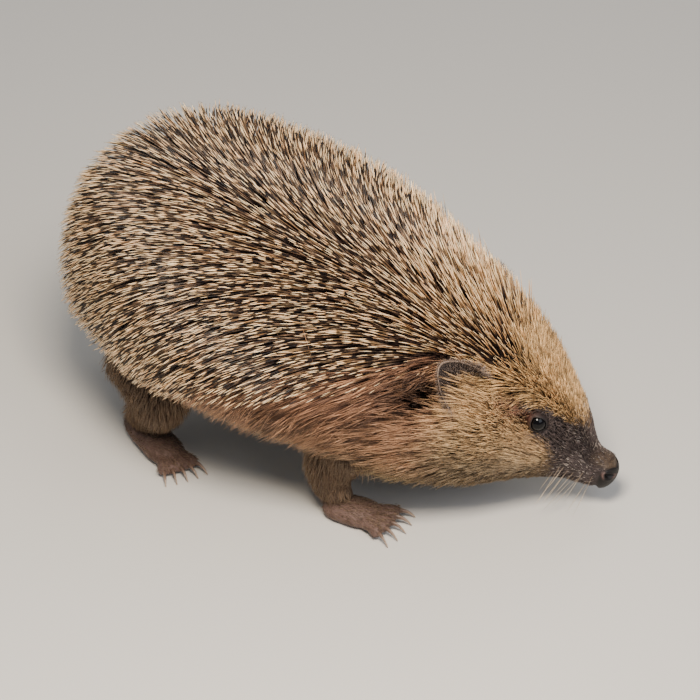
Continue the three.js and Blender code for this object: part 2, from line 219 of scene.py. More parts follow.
def tint(colour):
    """An sRGB hex colour as linear red, green and blue."""
    c = np.array([int(colour[i:i + 2], 16) for i in (1, 3, 5)]) / 255
    return np.where(c <= 0.04045, c / 12.92, ((c + 0.055) / 1.055) ** 2.4)


# ---- the body as functions of distance along it and angle round it ----


def forward(at):
    """Direction of the axis: its heading and dip each turn by smooth steps along the body."""
    turned = smooth(at, TURN["start"], TURN["end"])
    heading = np.radians(TURN["rump"] + (TURN["head"] - TURN["rump"]) * turned)
    dip = np.radians(RISE["rump"] * (1 - smooth(at, 0, RISE["end"]))
                     + DIP["head"] * smooth(at, DIP["start"], DIP["end"])
                     + SNOUT_DIP["more"] * smooth(at, SNOUT_DIP["start"], SNOUT_DIP["end"])
                     - NOSE_LIFT["less"] * smooth(at, NOSE_LIFT["start"], NOSE_LIFT["end"]))
    return np.stack([np.cos(dip) * np.cos(heading), np.cos(dip) * np.sin(heading), -np.sin(dip)], -1)


# The axis as points 1 mm apart, summed from its direction. It is moved to its place in the frame below.
AXIS = np.cumsum(np.vstack([[0, 0, RUMP_HEIGHT], forward(np.arange(LENGTH) + 0.5)]), axis=0)


def axes(at):
    """The axis point at a distance, with its forward, left and upward directions there."""
    inside = np.clip(at, 0, LENGTH)
    f = forward(inside)
    past = np.asarray(at - inside)
    c = np.stack([np.interp(inside, np.arange(len(AXIS)), AXIS[:, k]) for k in range(3)], -1)
    left = unit(np.stack([-f[..., 1], f[..., 0], np.zeros_like(f[..., 0])], -1))
    return c + f * past[..., None], f, left, np.cross(f, left)


def station(at, column):
    """A size at any distance: a cubic through the stations, with slopes from their neighbours."""
    x, y = STATIONS[:, 0], STATIONS[:, column]
    before, after = np.maximum(np.arange(len(x)) - 1, 0), np.minimum(np.arange(len(x)) + 1, len(x) - 1)
    slope = (y[after] - y[before]) / (x[after] - x[before])
    i = np.clip(np.searchsorted(x, at) - 1, 0, len(x) - 2)
    span = x[i + 1] - x[i]
    t = np.clip((at - x[i]) / span, 0, 1)
    return (y[i] * (1 + 2 * t) * (1 - t) ** 2 + y[i + 1] * t * t * (3 - 2 * t)
            + span * (slope[i] * t * (1 - t) ** 2 + slope[i + 1] * t * t * (t - 1)))


def rounding(from_end, length):
    """0 at a round end and 1 past it, as a quarter circle."""
    return np.sqrt(1 - (1 - np.clip(from_end / length, 0, 1)) ** 2)


def section(at, angle):
    """Half width and height of an outline point before the ends close: a superellipse, less the tuck of
    the fur under the spines' lip and the hollows of the head."""
    a = np.radians(angle)
    c, s = np.cos(a), np.sin(a)
    power = station(at, POWER)
    side = np.sign(c) * np.abs(c) ** (2 / power) * station(at, WIDTH)
    up = np.sign(s) * np.abs(s) ** (2 / power) * np.where(s > 0, station(at, UP), station(at, DOWN))
    lift = np.degrees(np.arcsin(np.clip(s, -1, 1)))
    lip = LIP["hip"] + (LIP["shoulder"] - LIP["hip"]) * smooth(at, LIP["start"], LIP["end"])
    tuck = (LIP["tuck"] * (1 - smooth(lift, lip - LIP["softness"], lip))
            * smooth(at, 0, LIP["fade"]) * (1 - smooth(at, LIP["end"], LIP["end"] + LIP["fade"])))
    hollow = sum(depth * near(place, at, lift) for place, depth in HOLLOWS.items())
    share = 1 - (tuck + hollow) / np.maximum(np.hypot(side, up), 1e-9)
    return side * share, up * share


def outline(at, angle):
    """A point of the coat's outer surface."""
    side, up = section(at, angle)
    closing = rounding(at, RUMP_ROUND) * rounding(LENGTH - at, NOSE_ROUND)
    c, _, left, over = axes(at)
    return c + left * (side * closing)[..., None] + over * (up * closing)[..., None]


def slopes(shape, at, angle, step=0.3):
    """Unit directions on a surface by small differences: forwards, round it, and outwards."""
    low, high = np.maximum(at - step, 0.01), np.minimum(at + step, LENGTH - 0.002)
    ahead = unit(shape(high, angle) - shape(low, angle))
    turned = unit(shape(at, angle + step) - shape(at, angle - step))
    return ahead, turned, unit(np.cross(turned, ahead))


def lift_of(angle):
    """Degrees above level: the arcsine of the angle's sine."""
    return np.degrees(np.arcsin(np.clip(np.sin(np.radians(angle)), -1, 1)))


def by_place(table, at, lift):
    """A size given on top, at the side and below, blended round the body."""
    top, side, below = (np.interp(at, table[:, 0], table[:, k]) for k in (1, 2, 3))
    return side + (top - side) * smooth(lift, 0, 55) + (below - side) * smooth(-lift, 0, 50)


def side_angle(side, angle):
    """An angle on the left side, or its mirror on the right."""
    return angle if side > 0 else 180 - angle


def eye_place(side):
    """Centre of an eye ball and the direction it looks in: square to the surface, turned to the side."""
    at, angle = EYE["at"], side_angle(side, EYE["angle"])
    left = axes(at)[2]
    gaze = unit(left * side * EYE["aside"] + slopes(outline, at, angle)[2])
    return outline(at, angle) + gaze * (EYE["bulge"] - EYE["radius"]), gaze


# The right eye of the frame tells how far the body was moved there to stand on the origin.
_low, _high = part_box("eye_right")
AXIS += np.array((_low + _high) / 2) / MM - eye_place(-1)[0]
EYES = {side: eye_place(side) for side in (1, -1)}


def near_eye(p):
    """For each point and its nearest eye: height along the gaze, distance from the gaze line, outward
    direction in the eye's plane, turn in radians from the corner near the nose, and the eye's place."""
    balls, gazes = (np.stack([EYES[side][k] for side in (1, -1)]) for k in (0, 1))
    nearest = np.where(dot(p - balls[0], p - balls[0]) < dot(p - balls[1], p - balls[1]), 0, 1)
    c, gaze = balls[nearest], gazes[nearest]
    _, f, _, over = axes(EYE["at"])
    high = dot(p - c, gaze)
    flat = p - c - gaze * high[..., None]
    far = np.linalg.norm(flat, axis=-1)
    ahead = unit(f - gaze * dot(gaze, f)[..., None])
    above = unit(over - gaze * dot(gaze, over)[..., None] - ahead * dot(ahead, over)[..., None])
    turn = np.arctan2(dot(flat, above), dot(flat, ahead))
    return high, far, unit(flat), turn, c, gaze


# The opening's half width, what is added at its corners, where the front one lies in radians, the lids'
# thickness and reach, their gap to the ball, and their crease.
LID = dict(opening=2.75, front=0.9, back=0.3, flat=0.12, corner=-0.45, thickness=0.4, reach=3.0, gather=1.1,
           gap=0.06, crease=0.28, crease_from_rim=1.7, behind=-0.8)


def opening(turn):
    """Half width of the eye's opening by direction: a circle drawn out at both corners."""
    wrapped = np.angle(np.exp(1j * (turn - LID["corner"])))
    return (LID["opening"] + LID["front"] * bell(wrapped / 0.42)
            + LID["back"] * bell((np.abs(wrapped) - np.pi) / 0.45) - LID["flat"] * np.abs(np.sin(wrapped)))


def lids(p):
    """Moves skin points round each eye: rows gather at the rim, the lids ride on a sphere just over the
    ball with a rounded margin, and inside the opening the skin drops behind the ball."""
    high, far, out, turn, c, gaze = near_eye(p)
    rim = opening(turn)
    off = far - rim
    moved = rim + np.where(np.abs(off) < LID["gather"], off * np.abs(off) / LID["gather"], off)
    t = np.clip((moved - rim) / LID["thickness"], 0, 1)
    ball = EYE["radius"] + LID["gap"] + LID["thickness"] * np.sqrt(1 - (1 - t) ** 2)
    lid = np.sqrt(np.maximum(ball ** 2 - moved ** 2, 0.3))
    crease = LID["crease"] * bell((moved - rim - LID["crease_from_rim"]) / 0.35)
    height = mix(lid, high, smooth(moved, rim + 0.7, rim + LID["reach"])) - crease
    height = mix(height, LID["behind"], smooth(rim - moved, 0.01, 0.14))
    shaped = c + gaze * height[..., None] + out * moved[..., None]
    here = ((far < 8) & (high > -6))[..., None]
    return np.where(here, shaped, p)


def mouth_lift(at):
    """The line of the mouth, in degrees above level: it falls from its corner to under the nose."""
    return -15 - 33 * smooth(at, 213, 227)


def relief(at, angle):
    """Height of the head's forms over the even skin: brows, cheeks, whisker pads, lips and nose pad."""
    lift = lift_of(angle)
    forms = sum(height * near(place, at, lift) for place, height in FORMS.items())
    from_mouth = lift - mouth_lift(at)
    mouth = -0.75 * bell(from_mouth / 4) * smooth(at, 212.5, 215) * (1 - smooth(at, 224.5, 226))
    jaw = -0.9 * smooth(-from_mouth, 0, 7) * smooth(at, 213, 217)
    chin = -1.3 * smooth(-from_mouth, 0, 9) * smooth(at, 221, 226)
    from_pad = at - nose_edge(lift)
    edge = -0.3 * bell(from_pad / 0.45)
    pad = 0.35 * smooth(from_pad, 0, 1)
    cleft = -0.5 * bell((angle - 270) / 9) * smooth(at, 223, 225.5)
    return forms + mouth + jaw + chin + edge + pad + cleft


def nose_edge(lift):
    """Where the bare pad of the nose starts: far back at its sides, and near the tip on top."""
    return 225.0 + 5.0 * smooth(lift, 5, 60) + 0.6 * smooth(-lift, 30, 80)


NOSTRIL = dict(at=228.4, angle=4, long=1.35, high=0.85, depth=1.5, rim=0.2)


def nostrils(at, angle):
    """Distance from the nearer nostril's middle over its own size: a comma that opens to the side, with its
    tail drawn back and up."""
    along = at - NOSTRIL["at"]
    over = np.radians(lift_of(angle) - NOSTRIL["angle"]) * STATIONS[-1, WIDTH]
    tail = 0.35 * np.minimum(along, 0)
    return np.hypot(along / NOSTRIL["long"], (over + tail) / NOSTRIL["high"])


def bare(at, angle):
    """The even skin with the head's forms, before lids and nostrils: the outline less the coat's depth."""
    lift = lift_of(angle)
    out = slopes(outline, at, angle)[2]
    rise = relief(at, angle) - by_place(COAT_DEPTH, at, lift)
    return outline(at, angle) + out * rise[..., None]


def skin(at, angle):
    """The finished skin of body and head."""
    d = nostrils(at, angle)
    rise = NOSTRIL["rim"] * bell((d - 1.45) / 0.4) - NOSTRIL["depth"] * bell(d ** 1.5)
    out = slopes(outline, at, angle)[2]
    return lids(bare(at, angle)) + out * (rise * smooth(at, 224, 225.5))[..., None]


# ---- meshes ----


def closed_rings(rings):
    """Points and faces of a solid through rings, shape (rings, points, 3), which run left over top to
    right when seen from behind. A pole closes each end."""
    n, m = rings.shape[:2]
    points = np.concatenate([rings.reshape(-1, 3), rings[:1].mean(1), rings[-1:].mean(1)])
    i, j = np.meshgrid(np.arange(n - 1) * m, np.arange(m), indexing="ij")
    k = (j + 1) % m
    quads = np.stack([i + j, i + k, i + m + k, i + m + j], -1).reshape(-1, 4)
    j = np.arange(m)
    k, end = (j + 1) % m, (n - 1) * m
    caps = np.concatenate([np.stack([np.full(m, n * m), k, j], -1),
                           np.stack([np.full(m, n * m + 1), end + j, end + k], -1)])
    return points, [quads, caps]


def joined(solids):
    """Several (points, faces) as one."""
    points, faces, start = [], [], 0
    for p, groups in solids:
        points.append(p)
        faces += [g + start for g in groups]
        start += len(p)
    return np.concatenate(points), faces


def mesh_piece(name, points, faces, uv=None, **attributes):
    """A mesh object from points in mm and arrays of faces, with its attributes on points."""
    mesh = bpy.data.meshes.new(name)
    mesh.vertices.add(len(points))
    mesh.vertices.foreach_set("co", (points * MM).astype(np.float32).ravel())
    corners = np.concatenate([f.ravel() for f in faces]).astype(np.int32)
    sizes = np.concatenate([np.full(len(f), f.shape[1]) for f in faces])
    mesh.loops.add(len(corners))
    mesh.loops.foreach_set("vertex_index", corners)
    mesh.polygons.add(len(sizes))
    mesh.polygons.foreach_set("loop_start", (np.cumsum(sizes) - sizes).astype(np.int32))
    mesh.update(calc_edges=True)
    mesh.polygons.foreach_set("use_smooth", np.ones(len(sizes), bool))
    if uv is not None:
        mesh.uv_layers.new(name="OFBake").data.foreach_set("uv", uv[corners].astype(np.float32).ravel())
    for key, values in attributes.items():
        add_attribute(mesh, key, values)
    piece = bpy.data.objects.new(name, mesh)
    bpy.context.scene.collection.objects.link(piece)
    return piece


def add_attribute(mesh, name, values):
    """Puts one number or one linear colour on each point."""
    values = np.asarray(values, np.float32)
    if values.ndim == 1:
        mesh.attributes.new(name, "FLOAT", "POINT").data.foreach_set("value", values)
    else:
        if values.shape[1] == 3:
            values = np.column_stack([values, np.ones(len(values), np.float32)])
        mesh.attributes.new(name, "FLOAT_COLOR", "POINT").data.foreach_set("color", values.ravel())


def applied(piece):
    """The piece's mesh with its modifiers worked in, in place of the old one."""
    made = bpy.data.meshes.new_from_object(piece.evaluated_get(bpy.context.evaluated_depsgraph_get()))
    piece.modifiers.clear()
    piece.data = made
    return piece


def mesh_points(mesh):
    """A mesh's points in mm."""
    co = np.zeros(len(mesh.vertices) * 3, np.float32)
    mesh.vertices.foreach_get("co", co)
    return co.reshape(-1, 3).astype(float) / MM


def curve_through(points, t):
    """The polynomial through points at even steps of t from 0 to 1 (Lagrange's form)."""
    points = np.asarray(points, float)
    knots = np.linspace(0, 1, len(points))
    total = 0
    for i, point in enumerate(points):
        others = np.delete(knots, i)
        weight = np.prod([(t - k) / (knots[i] - k) for k in others], axis=0)
        total = total + weight[:, None] * point
    return total


def tube(points, wide, high, level, sides=20):
    """A closed tube with oval sections through points, wide along `level` x tangent and high across."""
    f = unit(np.gradient(points, axis=0))
    left = unit(np.cross(level, f))
    over = np.cross(f, left)
    a = np.arange(sides) / sides * 2 * np.pi
    ring = (left[:, None] * (wide[:, None] * np.cos(a))[..., None]
            + over[:, None] * (high[:, None] * np.sin(a))[..., None])
    return closed_rings(points[:, None] + ring)


# ---- skin ----

# Columns round the body, rings over its round ends, and between them stretches from one distance to another
# with the step between rings.
BODY_COLUMNS, RUMP_RINGS, NOSE_RINGS = 200, 18, 26
BODY_STRETCHES = (38.5, 170, 2.5), (171, 185.5, 1.0), (186, 202, 0.34), (202.3, 225.7, 0.42)


def body_places():
    """Distances and angles of the skin's rings: close together where the form is fine."""
    rump = RUMP_ROUND * (1 - np.cos(np.linspace(0.04, np.pi / 2, RUMP_RINGS)))
    nose = LENGTH - NOSE_ROUND * (1 - np.sin(np.linspace(0, np.pi / 2 - 0.03, NOSE_RINGS)))
    at = np.concatenate([rump, *(np.arange(*stretch) for stretch in BODY_STRETCHES), nose])
    base = np.linspace(0, 360, 721)
    # Denser round both eyes.
    density = 1 + 2.2 * (bell((base - EYE["angle"]) / 16) + bell((base - 180 + EYE["angle"]) / 16))
    share = np.concatenate([[0], np.cumsum((density[1:] + density[:-1]) / 2)])
    angle = np.interp(np.arange(BODY_COLUMNS) / BODY_COLUMNS * share[-1], share, base)
    return at, angle


def ear_blade(side):
    """A cupped, oval blade. A ring's span is sin(w) as w goes from the middle of the hollow side (0) over
    the rim to the middle of the back (180 degrees), and its thickness follows cos(w)."""
    at, angle = EAR["at"], side_angle(side, EAR["angle"])
    ahead = axes(at)[1]
    out = slopes(outline, at, angle, 0.5)[2]
    tip = unit(out * EAR_LEAN["out"] - ahead * EAR_LEAN["back"] + UPWARD * EAR_UP[side])
    facing = ahead * EAR_FACE["ahead"] + out * EAR_FACE["out"]
    facing = unit(facing - tip * dot(facing, tip))
    across = np.cross(facing, tip)
    root = outline(at, angle) - out * EAR["sunk"]
    w = np.linspace(0.05, np.pi - 0.05, EAR_RINGS)[:, None]
    a = (np.arange(EAR_SIDES) / EAR_SIDES * 2 * np.pi)[None]
    span = np.sin(w) ** 0.8
    x = EAR["width"] / 2 * span * np.cos(a) * (1 - EAR["egg"] * np.sin(a))
    y = EAR["length"] / 2 * (1 + span * np.sin(a)) + 0.4
    cup = -EAR["cup"] * (1 - (span * np.cos(a)) ** 2)
    thick = EAR["thickness"] / 2 * np.sign(np.cos(w)) * np.abs(np.cos(w)) ** 0.5
    roll = EAR["roll"] * span ** 10 * np.abs(np.cos(a))
    # A fold runs slantwise up the middle of the hollow side.
    fold = bell((x + 0.25 * (y - 12)) / 1.1) * smooth(np.cos(w), 0, 0.3)
    ridge = EAR["ridge"] * fold * smooth(y, 4, 9) * (1 - smooth(y, 14, 20))
    rings = (root + across * x[..., None] + tip * y[..., None]
             + facing * (cup + thick + roll + ridge)[..., None])
    return closed_rings(rings)


def ear_rings(side):
    """The points of an ear's rings, without its two poles."""
    return ear_blade(side)[0][:-2].reshape(EAR_RINGS, EAR_SIDES, 3)


def tail_cone():
    """A tapered tube that droops back from the rump, with a round end."""
    back = unit(-forward(0) * (1, 1, 0))
    droop = np.radians(TAIL["droop"])
    root = axes(TAIL["at"])[0] * (1, 1, 0) + UPWARD * TAIL["height"]
    t = np.linspace(0, 1, 24)
    points = root + t[:, None] * TAIL["length"] * (back * np.cos(droop) - UPWARD * np.sin(droop))
    size = mix(TAIL["root"], TAIL["tip"], t) * np.sqrt(1 - np.clip((t - 0.9) / 0.1, 0, 1) ** 2 * 0.9)
    return tube(points, size, size, UPWARD)


def leg_parts(name):
    """The limb, sole and toes of a leg as closed tubes, and each toe's end with its direction."""
    spec, side, ahead = STEPS[name]
    centre, f, left, _ = axes(spec["at"])
    way = np.arctan2(f[1], f[0]) + np.radians(spec["splay"]) * side
    along = np.array([np.cos(way), np.sin(way), 0])
    under = centre * (1, 1, 0) + left * side * spec["out"]
    foot = under + along * ahead
    joints = [under + (foot - under) * share - along * back + UPWARD * height
              for share, back, height in zip((0, 0.5, 1), spec["back"], spec["height"])]
    t = np.linspace(0, 1, 26)
    size = np.interp(t, (0, 0.5, 1), spec["radius"]) - FUR_ON_LEG
    solids = [tube(curve_through(joints, t), size * LIMB_FLATNESS, size, along, 28)]
    length, width, height = spec["sole"]
    heel = foot - along * (spec["back"][2] + HEEL_BACK)
    ball = heel + along * length
    # The sole runs past heel and ball with round ends, and is wider in front.
    t = np.linspace(-SOLE["past"], 1 + SOLE["past"], 26)
    share = (t - t[0]) / (t[-1] - t[0])
    pad = np.sqrt(np.clip(1 - (2 * share - 1) ** 4, 0, 1))
    wide = np.maximum(mix(SOLE["heel_width"], 1, share) * (width - 0.6) * pad, 0.5)
    middle = heel + (ball - heel) * t[:, None] + UPWARD * height * SOLE["middle"]
    solids.append(tube(middle, wide, np.maximum((height - 0.5) * pad, 0.4), UPWARD, 28))
    across = np.cross(UPWARD, along)
    ends = []
    for turn in np.radians(spec["fan"]) * (np.arange(TOES) / (TOES - 1) - 0.5):
        ray = along * np.cos(turn) + across * np.sin(turn)
        root = ball + ray * TOE_ROOTS["ahead"] + across * np.sin(turn) * TOE_ROOTS["spread"]
        r = spec["toe_radius"]
        reach = (TOE_LINE["start"], *(spec["toe"] * share for share in TOE_LINE["reach"]))
        rise = [r * share for share in TOE_LINE["rise"]]
        t = np.linspace(0, 1, 20)
        path = curve_through([root + ray * x + UPWARD * z for x, z in zip(reach, rise)], t)
        # Knuckle and pad swell, and the end is round.
        swell = (r - 0.35) * (1 - 0.14 * t + 0.08 * np.sin(3 * np.pi * t))
        size = swell * np.sqrt(1 - np.clip((t - 0.82) / 0.18, 0, 0.97) ** 2)
        solids.append(tube(path, size * 0.95, size, UPWARD, 16))
        ends.append((root + ray * reach[2] + UPWARD * rise[2], ray))
    return solids, ends


# Size of the cells in which a leg's tubes are melted, and how low its sole is laid flat.
LEG_VOXEL, SOLE_FLAT = 0.62, 0.25


def leg_skin(name):
    """One leg's tubes melted into a single surface, flat where it stands on the floor."""
    solids, _ = leg_parts(name)
    piece = mesh_piece("skin_" + name, *joined(solids))
    remesh = piece.modifiers.new("melt", "REMESH")
    remesh.mode = "VOXEL"
    remesh.voxel_size = LEG_VOXEL * MM
    ease = piece.modifiers.new("ease", "SMOOTH")
    ease.factor, ease.iterations = 0.5, 4
    applied(piece)
    p = mesh_points(piece.data)
    p[:, 2] = np.where(p[:, 2] < SOLE_FLAT, 0.0, p[:, 2])
    piece.data.vertices.foreach_set("co", (p * MM).astype(np.float32).ravel())
    return piece


BODY_PART, EAR_PART, TAIL_PART, LEG_PART = 1.0, 2.0, 3.0, 4.0


def make_skin():
    """Body, ears, tail and legs joined into one closed surface, with its colours and wetness. Gives the
    surfaces of tail and legs too, for their hairs."""
    at, angle = body_places()
    rings = skin(*np.broadcast_arrays(at[:, None], angle[None]))
    piece = mesh_piece("skin", *closed_rings(rings))
    add_attribute(piece.data, "part", np.full(len(piece.data.vertices), BODY_PART))
    others = bpy.data.collections.new("joined to the body")
    bpy.context.scene.collection.children.link(others)
    limbs = [(mesh_piece("skin_ear", *ear_blade(side)), EAR_PART) for side in (1, -1)]
    limbs.append((mesh_piece("skin_tail", *tail_cone()), TAIL_PART))
    limbs += [(leg_skin(name), LEG_PART) for name in STEPS]
    for limb, number in limbs:
        add_attribute(limb.data, "part", np.full(len(limb.data.vertices), number))
        bpy.context.scene.collection.objects.unlink(limb)
        others.objects.link(limb)
    union = piece.modifiers.new("join", "BOOLEAN")
    union.operation, union.solver = "UNION", "MANIFOLD"
    union.operand_type, union.collection = "COLLECTION", others
    applied(piece)
    haired = [triangles_of(limb.data) for limb, number in limbs if number in (TAIL_PART, LEG_PART)]
    for limb, _ in limbs:
        bpy.data.objects.remove(limb)
    bpy.data.collections.remove(others)
    mesh = piece.data
    mesh.polygons.foreach_set("use_smooth", np.ones(len(mesh.polygons), bool))
    paint_skin(mesh)
    return piece, haired


def triangles_of(mesh):
    """The corner points of a mesh's triangles, in mm, shape (triangles, 3, 3)."""
    mesh.calc_loop_triangles()
    index = np.zeros(len(mesh.loop_triangles) * 3, np.int32)
    mesh.loop_triangles.foreach_get("vertices", index)
    return mesh_points(mesh)[index.reshape(-1, 3)]


def place_of(p, at=None):
    """Distance along the body and angle round it of any points near it, by steps of the distance towards
    the section that holds each point."""
    if at is None:
        at = np.concatenate([np.argmin(((part[:, None] - AXIS[None, ::6]) ** 2).sum(-1), 1) * 6.0
                             for part in np.array_split(p, max(1, len(p) // 20000))])
    for _ in range(5):
        c, f, _, _ = axes(at)
        at = np.clip(at + dot(p - c, f), -20, LENGTH + 4)
    c, f, left, over = axes(at)
    side, up = dot(p - c, left), dot(p - c, over)
    tall = np.where(up > 0, station(at, UP), station(at, DOWN))
    half = station(at, POWER) / 2
    a = np.arctan2(np.sign(up) * (np.abs(up) / tall) ** half,
                   np.sign(side) * (np.abs(side) / station(at, WIDTH)) ** half)
    return at, np.degrees(a) % 360, np.hypot(side, up)


def outside(p, at):
    """How far points lie outside the coat's outline: from the section's radius, and from an ellipsoid
    over the rump."""
    at, angle, r = place_of(p, at)
    full = np.hypot(*section(np.clip(at, 0, LENGTH), angle))
    x = np.maximum(1 - at / RUMP_ROUND, 0)
    share = r / full
    ratio = np.hypot(x, share)
    return (ratio - 1) * ratio / np.maximum(np.hypot(x / RUMP_ROUND, share / full), 1e-6)


# ---- colours of skin and fur by place ----

# Root and tip colours of the hair.
TONES = {
    "straw": ("#2a1b13", "#ecc389"), "golden": ("#4b3621", "#ebc48f"), "throat": ("#42362b", "#a08a6b"),
    "flank": ("#2b1d18", "#cfa07a"), "belly": ("#564639", "#a8946f"), "mask": ("#1e1819", "#635653"),
    "leg": ("#4b3b31", "#8a735b"), "ear": ("#3a302b", "#a39084"), "whisker": ("#6b5a4c", "#cdbb9f"),
}
TONES = {name: (tint(root), tint(tip)) for name, (root, tip) in TONES.items()}
HAIR_RUSSET, HAIR_DUSKY, HAIR_PALE = tint("#a56d58"), tint("#86674f"), tint("#e6dacd")
SPINE_COOL, SPINE_WARM = tint("#fff8ea"), tint("#ffe0c6")


def mask(at, lift):
    """1 on the dark muzzle and round the eye, with a soft edge."""
    return smooth(at - np.interp(lift, MASK_START[:, 0], MASK_START[:, 1]), -1.2, 2.2)


def fur_tones(at, lift):
    """Root and tip colours of the fur at each place, with painted shade in the crease behind the ear and on
    the shoulder.
    """
    head = smooth(at + 0.15 * lift, 165, 179)
    weights = {
        "flank": (1 - head) * (1 - smooth(-lift, 8, 45)),
        "belly": (1 - head) * smooth(-lift, 8, 45),
        "straw": head * smooth(lift, 24, 46),
        "golden": head * (1 - smooth(lift, 24, 46)) * (1 - smooth(-lift, -11, 15)),
        "throat": head * smooth(-lift, -11, 15),
    }
    russet = np.maximum(0.9 * near("above_eye", at, lift), 0.35 * (1 - head) * smooth(lift, -12, 16))
    dusky = np.maximum(0.35 * near("behind_eye", at, lift), 0.6 * near("below_eye", at, lift))
    dark = mask(at, lift)
    # Painted shade: the fur is darker in the crease behind the ear, and a little on the shoulder in the shade
    # of the head.
    shadow = (1 - 0.8 * near("ear_crease", at, lift)) * (1 - 0.2 * near("shoulder", at, lift))
    result = []
    for end in (0, 1):
        colour = sum(weight[..., None] * TONES[name][end] for name, weight in weights.items())
        colour = mix(colour, HAIR_DUSKY * (0.6, 1.0)[end], dusky)
        colour = mix(colour, HAIR_RUSSET * (0.6, 1.0)[end], russet)
        result.append(mix(colour, TONES["mask"][end], dark) * shadow[..., None])
    return result


SKIN_DARK, SKIN_EAR, SKIN_EAR_RIM = tint("#33251f"), tint("#2b2220"), tint("#b39e8e")
SKIN_FOOT, SKIN_SNOUT, SKIN_NOSE = tint("#6e5850"), tint("#5d4e3f"), tint("#120d0d")
SKIN_LID, SKIN_LID_RIM, SKIN_SOCKET = tint("#261d1c"), tint("#100c0c"), tint("#87594b")
SKIN_NOSTRIL_RIM_AND_GLINT = tint("#7d625c")


def paint_skin(mesh):
    """Colours the skin by part and place, and marks where it is wet."""
    p = mesh_points(mesh)
    part = np.zeros(len(p), np.float32)
    mesh.attributes["part"].data.foreach_get("value", part)
    at, angle, _ = place_of(p)
    lift = lift_of(angle)
    root, tip = fur_tones(at, lift)
    face = smooth(at, 160, 185) * (1 - spiny(at, lift))
    colour = mix(mix(SKIN_DARK, root, 0.35), mix(root, tip, 0.25), face)
    snout = smooth(at, 215, 221) * smooth(lift, 22, 50)
    colour = mix(colour, SKIN_SNOUT, snout)
    high, far, _, turn, _, _ = near_eye(p)
    rim = opening(turn)
    on_eye = (far < 9) & (high > -3) & (at > 180)
    colour = mix(colour, SKIN_SOCKET, np.where(on_eye, near("above_eye", at, lift), 0))
    colour = mix(colour, SKIN_LID, np.where(on_eye, bell((far - rim - 0.75) / 0.6) * 0.8, 0))
    colour = mix(colour, SKIN_LID_RIM, np.where(on_eye, 1 - smooth(far, rim + 0.1, rim + 0.7), 0))
    pad = smooth(at, nose_edge(lift) - 0.3, nose_edge(lift) + 0.5)
    colour = mix(colour, SKIN_NOSE, pad)
    from_nostril = nostrils(at, angle)
    ends = smooth(np.abs(at - NOSTRIL["at"]) / NOSTRIL["long"], 0.7, 1.5)
    # The pale ring round each nostril is the paler edge of its wing with a painted highlight on it.
    colour = mix(colour, SKIN_NOSTRIL_RIM_AND_GLINT, bell((from_nostril - 1.6) / 0.4) * 0.6 * ends * pad)
    # Painted shade: the hollow of each nostril is darker still.
    colour = mix(colour, SKIN_NOSE * 0.3, bell(from_nostril ** 1.5) * pad)
    ear = part == EAR_PART
    for side in (1, -1):
        colour = np.where(ear[:, None], ear_colour(p, side, colour), colour)
    leg = part == LEG_PART
    colour = np.where(leg[:, None], mix(SKIN_FOOT, TONES["leg"][0], smooth(p[:, 2], 8, 16)), colour)
    colour = np.where((part == TAIL_PART)[:, None], SKIN_FOOT, colour)
    wet = pad * 0.55
    wet = np.maximum(wet, np.where(on_eye, 1 - smooth(far, rim, rim + 0.5), 0))
    add_attribute(mesh, "tone", colour)
    add_attribute(mesh, "wet", wet)
    mesh.attributes.remove(mesh.attributes["part"])


def ear_colour(p, side, before):
    """Dark grey in the hollow of an ear, with a pale rim."""
    edge = ear_rings(side)[EAR_RINGS // 2]
    here = np.linalg.norm(p - edge.mean(0), axis=1) < EAR["length"]
    result = before.copy()
    d = np.sqrt(((p[here][:, None] - edge[None]) ** 2).sum(-1).min(1))
    result[here] = mix(SKIN_EAR_RIM, SKIN_EAR, smooth(d, 0.2, 0.8))
    return result


# ---- strands: spines and hairs ----


# 1/g and 1/g^2 for g^3 = g + 1: steps that fill the unit square most evenly.
EVEN_STEPS = 0.7548776662466927, 0.5698402909980532


def scatter(rng, density, area):
    """Places spread evenly over the skin, so many per mm^2: an even sequence of pairs in the unit square,
    carried over the running totals of area times density along the body and then round it."""
    at0, at1 = area
    at = np.linspace(at0, at1, int(at1 - at0) + 1)
    angle = np.linspace(0, 360, 145)
    mid_at, mid_angle = np.meshgrid((at[1:] + at[:-1]) / 2, (angle[1:] + angle[:-1]) / 2, indexing="ij")
    step_at, step_angle = (at[1] - at[0]) / 2, (angle[1] - angle[0]) / 2
    high, low = np.minimum(mid_at + step_at, LENGTH - 0.01), np.maximum(mid_at - step_at, 0.01)
    along = bare(high, mid_angle) - bare(low, mid_angle)
    over = bare(mid_at, mid_angle + step_angle) - bare(mid_at, mid_angle - step_angle)
    weight = np.linalg.norm(np.cross(along, over), axis=-1) * density(mid_at, mid_angle)
    count = int(round(weight.sum()))
    rows = np.concatenate([[0], np.cumsum(weight.sum(1))])
    columns = np.concatenate([np.zeros((len(weight), 1)), np.cumsum(weight, 1)], 1)
    columns /= np.maximum(columns[:, -1:], 1e-9)
    i = np.arange(count)
    u = (i * EVEN_STEPS[0] + rng.random()) % 1
    v = (i * EVEN_STEPS[1] + rng.random()) % 1
    places = np.interp(u * rows[-1], rows, at)
    row = np.clip(((places - at0) / (at[1] - at[0])).astype(int), 0, len(weight) - 1)
    flat = (columns + np.arange(len(weight))[:, None]).ravel()
    wide = columns.shape[1]
    k = np.clip(np.searchsorted(flat, row + v, side="right") - 1, row * wide, (row + 1) * wide - 2)
    share = (row + v - flat[k]) / np.maximum(flat[k + 1] - flat[k], 1e-12)
    angles = angle[k - row * wide] + np.clip(share, 0, 1) * (angle[1] - angle[0])
    return places, angles


def coat_frame(at, angle):
    """Roots on the skin with the unit directions there: ahead, down the side, and outward."""
    ahead, turned, out = slopes(bare, at, angle)
    down = -np.sign(np.cos(np.radians(angle)))[..., None] * turned
    return lids(bare(at, angle)), ahead, down, out


